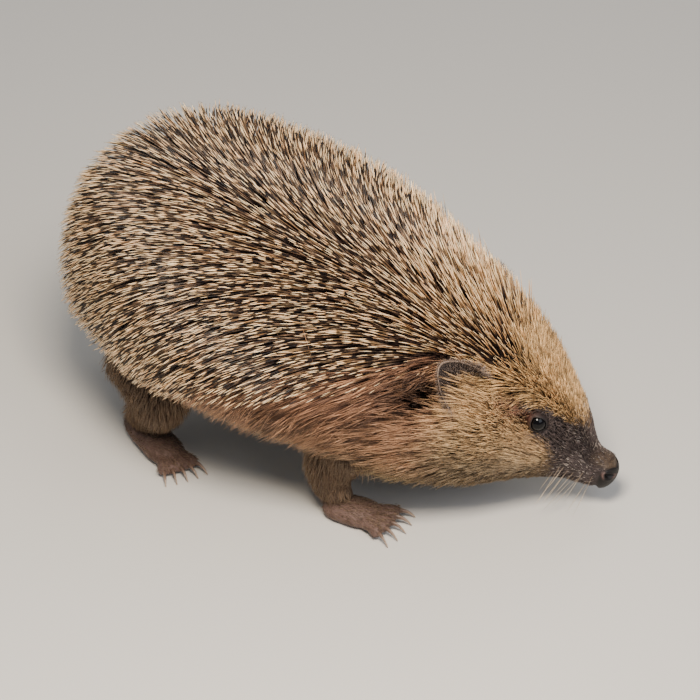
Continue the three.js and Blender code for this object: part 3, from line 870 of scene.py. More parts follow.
def strands(root, middle, tip, radius, out, stops, widths, sides):
    """Joined solid hairs, each along the parabola 'root, middle, tip' (quadratic Bezier). stops are the
    shares of its length where it has a ring, and widths the rings' radii over its own."""
    t = np.array(stops)[None, :, None]
    p = root[:, None] * (1 - t) ** 2 + middle[:, None] * 2 * t * (1 - t) + tip[:, None] * t * t
    way = unit((middle - root)[:, None] * (1 - t) + (tip - middle)[:, None] * t)
    side = unit(np.cross(way, out[:, None]))
    over = np.cross(way, side)
    a = np.arange(sides) / sides * 2 * np.pi
    size = radius[:, None, None, None] * np.array(widths)[None, :, None, None]
    ring = (side[:, :, None] * np.cos(a)[:, None] + over[:, :, None] * np.sin(a)[:, None]) * size
    n, r = len(root), len(stops)
    per = r * sides + 1
    points = np.concatenate([(p[:, :, None] + ring).reshape(n, r * sides, 3), tip[:, None]], 1).reshape(-1, 3)
    start = (np.arange(n) * per)[:, None, None]
    j = np.arange(sides)
    k = (j + 1) % sides
    i = (np.arange(r - 1) * sides)[:, None]
    quads = np.stack([i + j, i + k, i + sides + k, i + sides + j], -1).reshape(1, -1, 4) + start
    last = (r - 1) * sides
    ends = np.stack([last + j, last + k, np.full(sides, r * sides)], -1)[None] + start
    caps = j[::-1][None] + start[:, :, 0]
    along = np.append(np.repeat(stops, sides), 1.0)
    round_ = np.append(np.tile(j / sides, r), 0.5)
    return points, [quads.reshape(-1, 4), ends.reshape(-1, 3), caps], along, round_


# A hair's patch and the map's margin, as shares of the map's side.
PATCH, MARGIN = 0.003, 0.004


def bake_map(at, angle, along, round_):
    """Each hair's patch at its root's place on the unrolled skin: angle across and distance up, spread
    over the part of the skin that the piece covers."""
    def spread(x):
        low, high = x.min() - 1e-3, x.max() + 1e-3
        return MARGIN + (x - low) / (high - low) * (1 - 2 * MARGIN - PATCH)

    u = spread(angle)[:, None] + round_[None] * PATCH
    v = spread(at)[:, None] + along[None] * PATCH
    return np.stack([u, v], -1).reshape(-1, 2)


# Shares of a hair's length where it has a ring, the rings' widths over its own, and its sides.
SPINE_RINGS = (0, 0.4, 0.82, 0.94), (0.8, 1, 0.88, 0.5), 4
HAIR_RINGS = (0, 0.35, 0.75), (1, 1, 0.75), 3
SHORT_HAIR_RINGS = (0, 0.5), (1, 0.8), 3
WHISKER_RINGS = (0, 0.25, 0.5, 0.75), (1, 0.9, 0.75, 0.5), 4


def hair_piece(name, material, at, angle, hairs, rings, colours):
    """Makes one piece of hairs (root, middle, tip, radius, out), which rides on the body and takes its
    finish from a slot. colours gives the attributes for a hair's points from their shares of its length."""
    points, faces, along, round_ = strands(*hairs, *rings)
    piece = mesh_piece(name, points, faces, bake_map(at, angle, along, round_), **colours(along))
    piece.data.materials.append(material)
    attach(piece, "root")


def graded(low, high, reach):
    """Colours for hair_piece: each hair's own root colour turns to its tip colour over a share of it."""
    def colours(along):
        t = smooth(along, 0, reach)[None, :, None]
        return {"tone": (low[:, None] * (1 - t) + high[:, None] * t).reshape(-1, 3)}
    return colours


def tips(root, way, out, length, erect):
    """Where hairs end that rise from the skin by an angle in radians."""
    return root + length[..., None] * (way * np.cos(erect)[..., None] + out * np.sin(erect)[..., None])


def settle(root, way, out, length, erect, depth_left, at, least, most):
    """Turns each hair up or down until its tip lies so far inside the coat's outline."""
    for _ in range(4):
        over = outside(tips(root, way, out, length, erect), at) + depth_left
        erect = np.clip(erect - 0.8 * over / (length * np.maximum(np.cos(erect), 0.3)), least, most)
    return erect


def spines_end(lift):
    """How far forward the spines grow at a lift."""
    return np.interp(lift, SPINES_END[:, 0], SPINES_END[:, 1])


def spiny(at, lift):
    """1 where spines grow, falling to 0 over their ragged edge, which is widest on the crown."""
    ahead = smooth(at, 140, 170)
    return 1 - smooth(at - spines_end(lift), mix(-3.5, -8, ahead), mix(3, 5, ahead))


def crown(at, lift):
    """1 on the crown, where the spines get fine and pale, and 0 on the back."""
    return smooth(at, 134, 166) * smooth(lift, 15, 50)


def straight_back(at, ahead, down, out, fall):
    """Unit directions along the skin: from straight back, turned `fall` radians down the side. Over the
    rump they run back and down instead, as the whole coat hangs there."""
    way = unit(-ahead * np.cos(fall)[..., None] + down * np.sin(fall)[..., None])
    hang = -forward(0) * (0.6, 0.6, 0) - UPWARD * 0.8
    hang = unit(hang - out * dot(hang, out)[..., None])
    return unit(mix(hang, way, smooth(at, 4, 42)))


def make_spines(material):
    """Spines lean back and down with their tips at the coat's outline. On the crown they stand closer and
    are shorter and finer, with a few long loose ones."""
    rng = np.random.default_rng(11)

    def density(at, angle):
        """So many per mm^2 where spines grow, and closer on the crown."""
        lift = lift_of(angle)
        return SPINE["per_mm2"] * spiny(at, lift) * (1 + 0.4 * crown(at, lift))

    at, angle = scatter(rng, density, (0.6, 194))
    n = len(at)
    at = np.clip(at + rng.normal(0, 0.35, n), 0.3, 195)
    angle = angle + rng.normal(0, 0.4, n)
    lift = lift_of(angle)
    fine = crown(at, lift)
    root, ahead, down, out = coat_frame(at, angle)
    # They turn down the side, least on the crown, and wander a little in waves along the body and round it.
    fall = 0.87 * (1 - smooth(lift, 72, 92)) * (1 - smooth(-lift, 60, 88)) * (1 - 0.55 * smooth(at, 116, 164))
    wander = np.sin(at / 7.3 + angle / 11) * 0.05 + np.sin(at / 3.1 - angle / 5.3 + 1) * 0.06
    way = straight_back(at, ahead, down, out, fall + wander + rng.normal(0, 0.08, n))
    edge = smooth(spines_end(lift) - at, -2, 10)
    wisp = rng.random(n) < WISP["share"] * fine
    length = (SPINE["length"] * mix(1, 0.8, fine) * mix(0.88, 1, edge) * mix(1, 0.72, smooth(at, 166, 190))
              * (1 + rng.normal(0, 0.05, n) + WISP["longer"] * wisp))
    erect = np.radians(SPINE["lean"]) + rng.normal(0, 0.03, n)
    depth = rng.random(n) * 1.5 - 0.5 - WISP["proud"] * wisp
    erect = settle(root, way, out, length, erect, depth, at, SPINE["least"], SPINE["most"])
    erect = erect + rng.normal(0, 0.045, n)
    tip = tips(root, way, out, length, erect)
    # Those that still stand out of the coat are left out.
    lies = outside(tip, at) < mix(1.4, 2.6, smooth(at, 20, 60)) + WISP["proud"] * wisp
    middle = (root + tip) / 2 + out * (length * SPINE["bow"])[:, None]
    root = root - out * SPINE["sunk"]
    radius = SPINE["radius"] * mix(1, 0.9, fine) * mix(0.75, 1, edge) * (1 + rng.normal(0, 0.08, n))
    radius = radius * (1 - WISP["thinner"] * wisp)
    # Painted shade: the spines of the rump and the low back are darker.
    shade = np.exp(rng.normal(0, 0.2, n)) * mix(0.64, 1, smooth(at, 8, 90))
    shade = shade * (1 - 0.14 * (1 - smooth(lift, 22, 48)) * (1 - smooth(at, 96, 124)))
    warm = rng.random(n)
    straw = np.clip(0.4 * fine + 0.4 * smooth(at, 162, 184) + rng.normal(0, 0.18, n), 0, 1)
    # Painted light: the cream tips are made longer where the back meets the crown, so that it looks more
    # brightly lit.
    shift = rng.normal(0, 0.03, n) + 0.09 * bell((at - 152) / 14) * smooth(lift, 36, 58)
    for name, low, high in SPINE_STRETCHES:
        pick = lies & (at >= low) & (at < high)

        def colours(along, pick=pick):
            tone = mix(SPINE_COOL, SPINE_WARM, warm[pick]) * shade[pick][:, None]
            banded = (along[None] + shift[pick][:, None] * (along[None] > 0)).ravel()
            return {"tone": np.repeat(tone, len(along), 0), "along": banded,
                    "straw": np.repeat(straw[pick], len(along))}

        hairs = root[pick], middle[pick], tip[pick], radius[pick], out[pick]
        hair_piece(name, material, at[pick], angle[pick], hairs, SPINE_RINGS, colours)


# How much longer the fur before the ear is, and how far it stands out of the coat.
EAR_TUFT = dict(longer=0.35, proud=7)
HAIR_SUNK, SHORT_HAIR_SUNK = 0.3, 0.2


def fur(name, material, seed, area, density, lock, radius, dull, pale=0.0):
    """Fur in small locks of (hairs, spread in mm, gather): hairs rooted close together lie alike, lean back
    and down, bend by a share of their length, and draw together by `gather` of the way at their tips.
    radius is (places along the body, radii there), and dull and pale are the shares of hairs darker and
    lighter than the rest."""
    rng = np.random.default_rng(seed)
    per_lock, spread, gather = lock
    at, angle = scatter(rng, lambda s, a: density(s, a) / per_lock, area)
    n = len(at)
    shape = (n, per_lock)

    def uneven(of_lock, of_hair):
        return rng.normal(0, of_lock, (n, 1)) + rng.normal(0, of_hair, shape)

    girth = np.maximum(np.linalg.norm(bare(at, angle + 1) - bare(at, angle), axis=1), 0.05)
    spot = np.sqrt(rng.random(shape)) * spread
    turn = rng.random(shape) * 2 * np.pi
    at = np.clip(at[:, None] + spot * np.cos(turn), 0.3, LENGTH - 0.2)
    angle = angle[:, None] + spot * np.sin(turn) / girth[:, None]
    lift = lift_of(angle)
    root, ahead, down, out = coat_frame(at, angle)
    way = straight_back(at, ahead, down, out, fall_of(at, lift) + uneven(0.11, 0.07))
    way, clear = past_eye(root, way)
    kind = np.clip(rng.random((n, 1)) + rng.normal(0, 0.25, shape), 0, 1)
    under = kind < dull
    # Longer and looser before the ear, and short in the crease behind it.
    whole = by_place(FUR_LENGTH, at, lift) * (1 + rng.normal(0, 0.1, (n, 1)))
    before = near("ear_front", at, lift)
    whole = whole * (1 + EAR_TUFT["longer"] * before) * (1 - 0.5 * near("ear_root", at, lift))
    length = whole * np.where(under, 0.95, 1.2) * (1 - 0.3 * rng.random(shape)) * mix(0.25, 1, clear)
    depth = by_place(COAT_DEPTH, at, lift)
    erect = np.arcsin(np.clip(depth / length, 0.06, 0.7))
    left = (depth * (0.4 * rng.random(shape) - 0.1 + 0.1 * under) - EAR_TUFT["proud"] * before).ravel()
    flat = [x.reshape(-1, *x.shape[2:]) for x in (root, way, out, length, erect, at)]
    erect = settle(*flat[:5], left, flat[5], 0.05, 0.95).reshape(shape) * (1 + uneven(0.1, 0.06))
    tip = tips(root, way, out, length, erect)
    tip = tip + (tip[:, :1] - tip) * (gather * rng.uniform(0.4, 1, shape))[..., None]
    bend = length * (curl_of(at) * (1 + uneven(0.3, 0.3)))
    middle = (root + tip) / 2 + out * (length * 0.06)[..., None] - down * bend[..., None]
    thick = np.interp(at, *radius) * (1 + rng.normal(0, 0.12, shape))
    low, high = fur_tones(at + rng.normal(0, 1.3, shape), lift + rng.normal(0, 2.5, shape))
    high = mix(high, low, mix(0.78, 0.68, smooth(at, 158, 176)) * under)
    high = mix(high, HAIR_PALE, 0.7 * (rng.random(shape) < pale))
    shade = np.exp(uneven(0.16, 0.16))[..., None]
    low, high = low * shade, high * shade
    # Hairs on the eye, past the fur's edge or standing out of the coat are left out.
    stands = outside(tip.reshape(-1, 3), at.ravel()).reshape(shape)
    ok = (clear > 0.02) & (density(at, angle) > 0) & (stands < 2.2 + 7.5 * before)
    hairs = (root - out * HAIR_SUNK)[ok], middle[ok], tip[ok], thick[ok], out[ok]
    hair_piece(name, material, at[ok], angle[ok] % 360, hairs, HAIR_RINGS,
               graded(low[ok], high[ok], 0.45))


def past_eye(root, way):
    """Hairs near an eye part round it. Gives their new directions, and 0 on the opening to 1 clear of it."""
    high, far, out, turn, _, _ = near_eye(root)
    rim = opening(turn)
    close = (1 - smooth(far, rim + 0.5, rim + 5)) * (high > -4)
    inward = np.minimum(dot(way, out), 0)
    across = way - out * dot(way, out)[..., None]
    side = unit(across + 1e-3 * np.cross(out, way))
    way = unit(way - out * (inward * close * 1.4)[..., None] + side * (0.5 * close * -inward)[..., None])
    return way, np.where(high > -4, smooth(far, rim + 0.55, rim + 4), 1)


# ---- materials ----


def node(tree, kind, settings=None, **inputs):
    """Adds a shader node. Settings are its own, with `ramp` as (place, hex colour) pairs. An input, called
    by its name or as _2 by its number, is a value, or a socket to link it from."""
    made = tree.nodes.new("ShaderNode" + kind)
    for key, value in (settings or {}).items():
        if key == "ramp":
            elements = made.color_ramp.elements
            while len(elements) < len(value):
                elements.new(0.5)
            for element, (place, colour) in zip(elements, value):
                element.position, element.color = place, (*tint(colour), 1)
        else:
            setattr(made, key, value)
    for key, value in inputs.items():
        socket = made.inputs[int(key[1:]) if key[0] == "_" else key.replace("_", " ")]
        if isinstance(value, bpy.types.NodeSocket):
            tree.links.new(value, socket)
        else:
            socket.default_value = value
    return made


def new_material(name):
    """An empty node material and its tree."""
    material = bpy.data.materials.new(name)
    material.use_nodes = True
    material.node_tree.nodes.clear()
    return material, material.node_tree


MULTIPLY = dict(data_type="RGBA", blend_type="MULTIPLY")


def keratin_spine():
    """Spines are hollow keratin, smooth and a little glossy: tan, with a dark band below the cream tip.
    On the crown they are straw-coloured like the fur, and their bands are faint."""
    material, tree = new_material("keratin_spine")
    along = node(tree, "Attribute", dict(attribute_name="along")).outputs["Fac"]
    tone = node(tree, "Attribute", dict(attribute_name="tone")).outputs["Color"]
    straw = node(tree, "Attribute", dict(attribute_name="straw")).outputs["Fac"]
    # Painted shade: the lower shaft is near black for the shade deep in the coat; the tan middle, the dark
    # band and the cream tip are the spines' own colours, and the faint ramp is dark low down for the same
    # shade.
    bands = node(tree, "ValToRGB", dict(ramp=[
        (0.0, "#171213"), (0.36, "#272022"), (0.5, "#6b5b51"), (0.62, "#93816f"), (0.68, "#1f191b"),
        (0.82, "#171215"), (0.86, "#f6dcb4"), (0.96, "#fff5dc"), (1.0, "#e0c6a8")]), Fac=along)
    faint = node(tree, "ValToRGB", dict(ramp=[
        (0.0, "#181112"), (0.4, "#2f2220"), (0.58, "#221817"), (0.68, "#e6c08c"), (0.86, "#f3d29f"),
        (1.0, "#fff0cc")]), Fac=along)
    colour = node(tree, "Mix", dict(data_type="RGBA"), _0=straw, _6=bands.outputs["Color"],
                  _7=faint.outputs["Color"])
    toned = node(tree, "Mix", MULTIPLY, _0=1.0, _6=colour.outputs[2], _7=tone)
    shader = node(tree, "BsdfPrincipled", Base_Color=toned.outputs[2], Roughness=0.42, IOR=1.55)
    node(tree, "OutputMaterial", Surface=shader.outputs["BSDF"])
    return material


def mottled(tree, colour, size, darkest, clear=0.7):
    """Darkens a colour by soft patches of about that size in mm, as noise over a colour ramp."""
    where = node(tree, "TexCoord").outputs["Object"]
    lumps = node(tree, "TexNoise", Vector=where, Scale=1 / (size * MM), Detail=3.0, Roughness=0.55)
    mottle = node(tree, "ValToRGB", dict(ramp=[(0.3, darkest), (clear, "#ffffff")]), Fac=lumps.outputs["Fac"])
    return node(tree, "Mix", MULTIPLY, _0=1.0, _6=colour, _7=mottle.outputs["Color"]).outputs[2]


def fur_hair(name, roughness):
    """Hair is keratin with fine scales: soft light along it, no mirror gloss. It is a little lighter and
    darker in patches some 6 mm across."""
    material, tree = new_material(name)
    tone = node(tree, "Attribute", dict(attribute_name="tone")).outputs["Color"]
    shader = node(tree, "BsdfPrincipled", Base_Color=mottled(tree, tone, 6, "#d4ccc6"), Roughness=roughness,
                  IOR=1.5)
    node(tree, "OutputMaterial", Surface=shader.outputs["BSDF"])
    return material


def bare_skin():
    """Skin is soft, mottled over 2 mm and finely wrinkled; the nose pad is wet, with a pebbled surface."""
    material, tree = new_material("living_skin")
    tone = node(tree, "Attribute", dict(attribute_name="tone")).outputs["Color"]
    wet = node(tree, "Attribute", dict(attribute_name="wet")).outputs["Fac"]
    where = node(tree, "TexCoord").outputs["Object"]
    rough = node(tree, "MapRange", Value=wet, To_Min=0.66, To_Max=0.4)
    wrinkles = node(tree, "TexNoise", Vector=where, Scale=1 / (0.7 * MM), Detail=3.0, Roughness=0.55)
    pebbles = node(tree, "TexVoronoi", Vector=where, Scale=1 / (0.5 * MM))
    grain = node(tree, "Mix", dict(data_type="FLOAT"), _0=wet, _2=wrinkles.outputs["Fac"],
                 _3=pebbles.outputs["Distance"])
    bump = node(tree, "Bump", Strength=0.6, Distance=0.15 * MM, Height=grain.outputs[0])
    shader = node(tree, "BsdfPrincipled", Base_Color=mottled(tree, tone, 2.2, "#bdb2ac", 0.72),
                  Roughness=rough.outputs[0], IOR=1.38, Normal=bump.outputs[0])
    node(tree, "OutputMaterial", Surface=shader.outputs["BSDF"])
    return material


def wet_cornea():
    """The eye is a dark iris and pupil under a wet, clear cornea: near black, with a sharp highlight."""
    material, tree = new_material("wet_cornea")
    shader = node(tree, "BsdfPrincipled", Base_Color=(*tint("#050405"), 1), Roughness=0.07, IOR=1.3)
    node(tree, "OutputMaterial", Surface=shader.outputs["BSDF"])
    return material


def horn_claw():
    """Claws are worn horn: brown at the root and paler to the tip, with streaks half a millimetre apart."""
    material, tree = new_material("horn_claw")
    along = node(tree, "Attribute", dict(attribute_name="along")).outputs["Fac"]
    worn = [(0.0, "#4b3a33"), (0.5, "#7d675a"), (1.0, "#b7a28e")]
    colour = node(tree, "ValToRGB", dict(ramp=worn), Fac=along).outputs["Color"]
    shader = node(tree, "BsdfPrincipled", Base_Color=mottled(tree, colour, 0.5, "#cfc4ba"), Roughness=0.38)
    node(tree, "OutputMaterial", Surface=shader.outputs["BSDF"])
    return material


# ---- pieces ----


def make_eyes(material):
    """Each eye is a ball, finely divided, that stands a little proud at its cornea."""
    for side, name in ((1, "left"), (-1, "right")):
        centre, gaze = EYES[side]
        across = unit(np.cross(UPWARD, gaze))
        over = np.cross(gaze, across)
        u = np.linspace(0.02, np.pi - 0.02, 40)[:, None]
        a = (np.arange(56) / 56 * 2 * np.pi)[None]
        r = EYE["radius"] * (1 + 0.02 * bell((np.pi - u) / 0.6))
        ring = (across * (np.sin(u) * np.cos(a))[..., None] + over * (np.sin(u) * np.sin(a))[..., None])
        rings = centre + (ring - gaze * np.cos(u)[..., None]) * r[..., None]
        piece = mesh_piece("eye_ball_" + name, *closed_rings(rings))
        piece.data.materials.append(material)
        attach(piece, "root")
        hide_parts("eye_" + name)


def make_claws(material):
    """Twenty claws, each a cone bent down to the floor from the top of its toe's end."""
    solids, along = [], []
    t = np.linspace(0, 1, CLAW["rings"])
    size = mix(CLAW["root"], CLAW["tip"], t)
    for name, (spec, _, _) in STEPS.items():
        for end, ray in leg_parts(name)[1]:
            start = end - ray * CLAW["sunk"] + UPWARD * 0.5
            bend = start + ray * spec["claw"] * 0.65 + UPWARD * 0.1
            tip = start + ray * (spec["claw"] + 1.4) - UPWARD * (start[2] - CLAW["clear"])
            path = curve_through([start, bend, tip], t)
            solids.append(tube(path, size * CLAW["flatness"], size, UPWARD, CLAW["sides"]))
            along.append(np.append(np.repeat(t, CLAW["sides"]), (0, 1)))
    piece = mesh_piece("claws", *joined(solids), along=np.concatenate(along))
    piece.data.materials.append(material)
    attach(piece, "root")


def furry(at, angle):
    """1 where fur grows: below and ahead of the spines, with hairs thinning out among them, and not on the
    nose pad or the lips."""
    lift = lift_of(angle)
    among = 1 - spiny(at + mix(4, 0, smooth(at, 150, 170)), lift)
    off_nose = 1 - smooth(at, nose_edge(lift) - 1.2, nose_edge(lift) - 0.2)
    return among * off_nose


def fall_of(at, lift):
    """How far the lie of the fur turns down from straight back, in radians: much on the flank, none on the
    crown, and a little up on the cheek behind the eye."""
    flank = 0.91 * (1 - smooth(at, 140, 168)) * (1 - 0.75 * smooth(lift, -5, 45))
    top = 0.4 * smooth(at, 140, 168) * smooth(lift, 22, 50)
    cheek = -0.21 * smooth(at, 165, 190) * (1 - smooth(lift, 10, 40)) * (1 - smooth(at, 202, 212))
    throat = 0.45 * smooth(-lift, 12, 45) * smooth(at, 150, 175) * (1 - smooth(at, 200, 212))
    return (flank + top + cheek + throat) * (1 - smooth(lift, 72, 92)) * (1 - smooth(-lift, 62, 88))


def curl_of(at):
    """Bend of a hair over its length: long loose hairs of the shoulder and flank hang in curves."""
    return mix(0.09, 0.015, smooth(at, 150, 172))


def make_fur(material, dark_material):
    """The fur in pieces: muzzle, faces, cheeks, flanks, crown and belly."""
    def part_of(amount, low, high, side=0, floor=-91.0, ceiling=91.0):
        """So many hairs per mm^2 on one stretch of the body, on one side or both, between two lifts."""
        def density(at, angle):
            lift = lift_of(angle)
            here = (at >= low) & (at < high) & (np.cos(np.radians(angle)) * side >= 0)
            return amount * furry(at, angle) * here * (lift >= floor) * (lift < ceiling)
        return density

    fur("fur_muzzle", dark_material, seed=21, area=(200, 229.5), density=part_of(8, 206, 229),
        lock=(4, 0.6, 0.2), radius=((204, 212, 228), (0.11, 0.08, 0.06)), dull=0.45, pale=0.07)
    for side, name in ((1, "left"), (-1, "right")):
        fur("fur_face_" + name, material, seed=31 + side, area=(184, 208),
            density=part_of(5.5, 188, 206, side), lock=(4, 0.45, 0.3), radius=((186, 206), (0.14, 0.1)),
            dull=0.38)
        fur("fur_cheek_" + name, material, seed=41 + side, area=(160, 190),
            density=part_of(3.2, 163, 188, side, floor=-40, ceiling=34), lock=(4, 0.55, 0.35),
            radius=((0,), (0.15,)), dull=0.3)
        fur("fur_flank_" + name, material, seed=51 + side, area=(2, 163),
            density=part_of(1.5, 2, 163, side, floor=-40), lock=(5, 0.8, 0.5), radius=((0,), (0.16,)),
            dull=0.55)
    fur("fur_crown", material, seed=61, area=(150, 190),
        density=part_of(2.6, 163, 188, floor=34), lock=(4, 0.5, 0.25), radius=((0,), (0.18,)), dull=0.5)
    fur("fur_belly", material, seed=71, area=(2, 190),
        density=part_of(0.65, 2, 188, ceiling=-40), lock=(8, 2.0, 0.4), radius=((0,), (0.21,)), dull=0.4)


def short_fur(name, material, seed, triangles, density, lie, length, radius, tones):
    """Short hairs rooted evenly over triangles. density, lie, length and radius are functions of the roots,
    and density also of the outward directions there. lie is the way the hairs lie before it is laid along
    the skin."""
    rng = np.random.default_rng(seed)
    edge1, edge2 = triangles[:, 1] - triangles[:, 0], triangles[:, 2] - triangles[:, 0]
    cross = np.cross(edge1, edge2)
    out = unit(cross)
    share = np.cumsum(np.linalg.norm(cross, axis=1) / 2 * density(triangles.mean(1), out))
    n = int(share[-1])
    pick = np.minimum(np.searchsorted(share, (np.arange(n) + rng.random(n)) / n * share[-1]), len(share) - 1)
    u, v = rng.random((2, n))
    u, v = np.where(u + v > 1, 1 - u, u), np.where(u + v > 1, 1 - v, v)
    root = triangles[pick, 0] + edge1[pick] * u[:, None] + edge2[pick] * v[:, None]
    out = out[pick]
    way = unit(lie(root)) + rng.normal(0, 0.14, (n, 3))
    way = unit(way - out * dot(way, out)[:, None])
    long = length(root) * rng.uniform(0.7, 1.1, n)
    erect = np.interp(long, (2, 9), (0.3, 0.22)) * rng.uniform(0.6, 1.3, n)
    tip = tips(root, way, out, long, erect)
    tip[:, 2] = np.maximum(tip[:, 2], 0.3)
    bend = (root + tip) / 2 + out * (long * 0.1)[:, None]
    shade = np.exp(rng.normal(0, 0.25, n))[:, None]
    at, angle, _ = place_of(root)
    hairs = root - out * SHORT_HAIR_SUNK, bend, tip, radius(root), out
    hair_piece(name, material, at, angle, hairs, SHORT_HAIR_RINGS,
               graded(tones[0] * shade, tones[1] * shade, 0.8))


# Hairs per mm^2, their lengths at two heights over the floor and on the feet, and their radii.
LEG_FUR = dict(per_mm2=1.85, heights=(8, 26), lengths=(4.5, 9), foot_length=2.2, radius=0.15, foot_radius=0.1)


def make_leg_fur(material, surfaces):
    """Short fur down each leg and the tail, finer and shorter on the feet."""
    def on_foot(p):
        return 1 - smooth(p[:, 2], 7, 13)

    def density(p, out):
        """So many per mm^2, but none on the soles or where the leg is inside the body."""
        at, angle, _ = place_of(p)
        clear = outside(p, at) + by_place(COAT_DEPTH, at, lift_of(angle)) > -2
        return LEG_FUR["per_mm2"] * smooth(p[:, 2], 2.5, 5) * clear * (out[:, 2] > -0.75)

    def lie(p):
        along = forward(place_of(p)[0]) * (1, 1, 0)
        foot = on_foot(p)
        return -UPWARD * (1 - 0.9 * foot)[:, None] + along * (1.1 * foot - 0.15)[:, None]

    def length(p):
        on_leg = np.interp(p[:, 2], LEG_FUR["heights"], LEG_FUR["lengths"])
        return mix(on_leg, LEG_FUR["foot_length"], on_foot(p))

    def radius(p):
        return mix(LEG_FUR["radius"], LEG_FUR["foot_radius"], on_foot(p))

    short_fur("fur_legs", material, 31, np.concatenate(surfaces), density, lie, length, radius,
              TONES["leg"])


def make_ear_fur(material):
    """Fine short hair on both faces of each ear, towards its edge."""
    for side, name in ((1, "left"), (-1, "right")):
        points, faces = ear_blade(side)
        quads = faces[0]
        triangles = points[np.concatenate([quads[:, :3], quads[:, (0, 2, 3)]])]
        rings = ear_rings(side)
        # Three quarters round a ring is its lowest point, at the ear's root.
        root, edge = rings[:, EAR_SIDES * 3 // 4].mean(0), rings[EAR_RINGS // 2]

        def nearness(p, edge=edge):
            return np.sqrt(((p[:, None] - edge[None, ::3]) ** 2).sum(-1).min(1))

        short_fur("fur_ear_" + name, material, 81 + side, triangles,
                  lambda p, out: mix(5.0, 2.2, smooth(nearness(p), 0.5, 2.5)),
                  lambda p, root=root: p - root,
                  lambda p, root=root: np.interp(np.linalg.norm(p - root, axis=1), (8, 17), (6, 2)),
                  lambda p: np.full(len(p), 0.06), TONES["ear"])


WHISKER = dict(first=211, last=222, in_row=6, rows=(-4, -18), shortest=9, longest=19, radius=0.12)


def make_whiskers(material):
    """Long thin bristles on the lips, in rows at two lifts on each side of the muzzle."""
    rng = np.random.default_rng(41)
    in_row = WHISKER["in_row"]
    n = len(WHISKER["rows"]) * in_row * 2
    at = np.tile(np.linspace(WHISKER["first"], WHISKER["last"], in_row), n // in_row) + rng.normal(0, 0.8, n)
    lift = np.repeat(WHISKER["rows"], in_row * 2) + rng.normal(0, 3, n)
    angle = np.where(np.arange(n) // in_row % 2 == 0, lift, 180 - lift)
    root, ahead, down, out = coat_frame(at, angle)
    length = rng.uniform(WHISKER["shortest"], WHISKER["longest"], n)
    way = down * rng.uniform(0.7, 1.2, n)[:, None] - ahead * 0.2
    way = unit(way + out * rng.uniform(0.4, 0.8, n)[:, None])
    middle = root + way * (length * 0.5)[:, None]
    tip = middle + unit(way - UPWARD * 0.45 - ahead * 0.2) * (length * 0.5)[:, None]
    tip[:, 2] = np.maximum(tip[:, 2], 0.6)
    dark, pale = (np.tile(colour, (n, 1)) for colour in TONES["whisker"])
    hairs = root - out * HAIR_SUNK, middle, tip, np.full(n, WHISKER["radius"]), out
    hair_piece("whiskers", material, at, angle % 360, hairs, WHISKER_RINGS,
               graded(dark, pale, 0.6))


# ---- stage ----


# Where the camera looks from in degrees, how far its target lies to the left of the nose and above it,
# its distance, and its sensor and lens, in mm.
CAMERA = dict(azimuth=32.6, elevation=31.4, aside=95.6, above=43.1, distance=1500, sensor=36, lens=216.1)
# Where each light shines from in degrees, its distance and width in m, its power in W, and its colour.
LIGHTS = {
    "key": (32, 52, 0.6, 0.17, 5.8, "#fff3e2"),
    "fill": (75, 35, 1.4, 0.9, 8, "#eef3ff"),
    "rim": (200, 45, 1.3, 0.6, 2, "#fff6ea"),
}
LIGHTS_AIM = (0, 0, 0.05)
FLOOR_SIZE = 4000.0
ROOM_LIGHT = 0.4


def look_along(azimuth, elevation):
    """Unit vectors to the viewer, to the right and up, for a view from that azimuth and elevation."""
    a, e = math.radians(azimuth), math.radians(elevation)
    back = np.array([math.sin(a) * math.cos(e), -math.cos(a) * math.cos(e), math.sin(e)])
    right = np.array([math.cos(a), math.sin(a), 0])
    return back, right, np.cross(back, right)


def placed(right, up, back, place):
    """The matrix of a camera or light that looks against `back`."""
    turn = np.eye(4)
    turn[:3] = np.column_stack([right, up, back, place])
    return Matrix(turn.tolist())


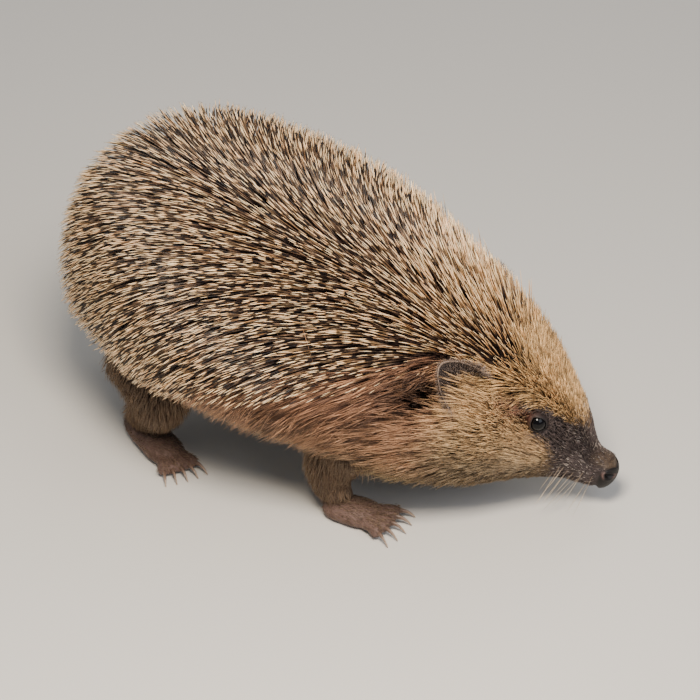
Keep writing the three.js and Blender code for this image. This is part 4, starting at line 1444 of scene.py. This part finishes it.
def make_camera():
    """A long lens from in front of the animal's right shoulder, looking down on it."""
    back, right, up = look_along(CAMERA["azimuth"], CAMERA["elevation"])
    target = AXIS[-1] - right * CAMERA["aside"] + up * CAMERA["above"]
    data = bpy.data.cameras.new("camera")
    data.sensor_width, data.lens = CAMERA["sensor"], CAMERA["lens"]
    data.clip_start, data.clip_end = 0.05, 20
    camera = bpy.data.objects.new("camera", data)
    bpy.context.scene.collection.objects.link(camera)
    camera.matrix_world = placed(right, up, back, (target + back * CAMERA["distance"]) * MM)
    bpy.context.scene.camera = camera


def area_light(name, azimuth, elevation, distance, size, power, colour):
    """A soft square light aimed at the middle of the animal."""
    data = bpy.data.lights.new(name, "AREA")
    data.size, data.energy, data.color = size, power, tint(colour)
    back, right, up = look_along(azimuth, elevation)
    light = bpy.data.objects.new(name, data)
    bpy.context.scene.collection.objects.link(light)
    light.matrix_world = placed(right, up, back, back * distance + LIGHTS_AIM)


def make_stage():
    """A pale floor and a soft bright room."""
    corners = np.array([(-1, -1, 0), (1, -1, 0), (1, 1, 0), (-1, 1, 0)]) * FLOOR_SIZE
    floor = mesh_piece("floor", corners, [np.array([[0, 1, 2, 3]])])
    material, tree = new_material("pale_studio_floor")
    shader = node(tree, "BsdfPrincipled", Base_Color=(*tint("#d8d4cd"), 1), Roughness=0.8)
    node(tree, "OutputMaterial", Surface=shader.outputs["BSDF"])
    floor.data.materials.append(material)
    world = bpy.data.worlds.new("room")
    world.use_nodes = True
    background = world.node_tree.nodes["Background"]
    background.inputs["Color"].default_value = (*tint("#e6ebf2"), 1)
    background.inputs["Strength"].default_value = ROOM_LIGHT
    bpy.context.scene.world = world
    for name, settings in LIGHTS.items():
        area_light(name, *settings)


make_camera()
make_stage()
hair = fur_hair("soft_fur", 0.62)
skin_piece, haired = make_skin()
skin_piece.data.materials.clear()
skin_piece.data.materials.append(bare_skin())
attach(skin_piece, "root")
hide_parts("trunk", "neck", "head", "nose", "tail", "ear_left", "ear_right", *STEPS)
make_eyes(wet_cornea())
make_claws(horn_claw())
make_spines(keratin_spine())
make_fur(hair, fur_hair("muzzle_fur", 0.7))
make_leg_fur(hair, haired)
make_ear_fur(hair)
make_whiskers(hair)
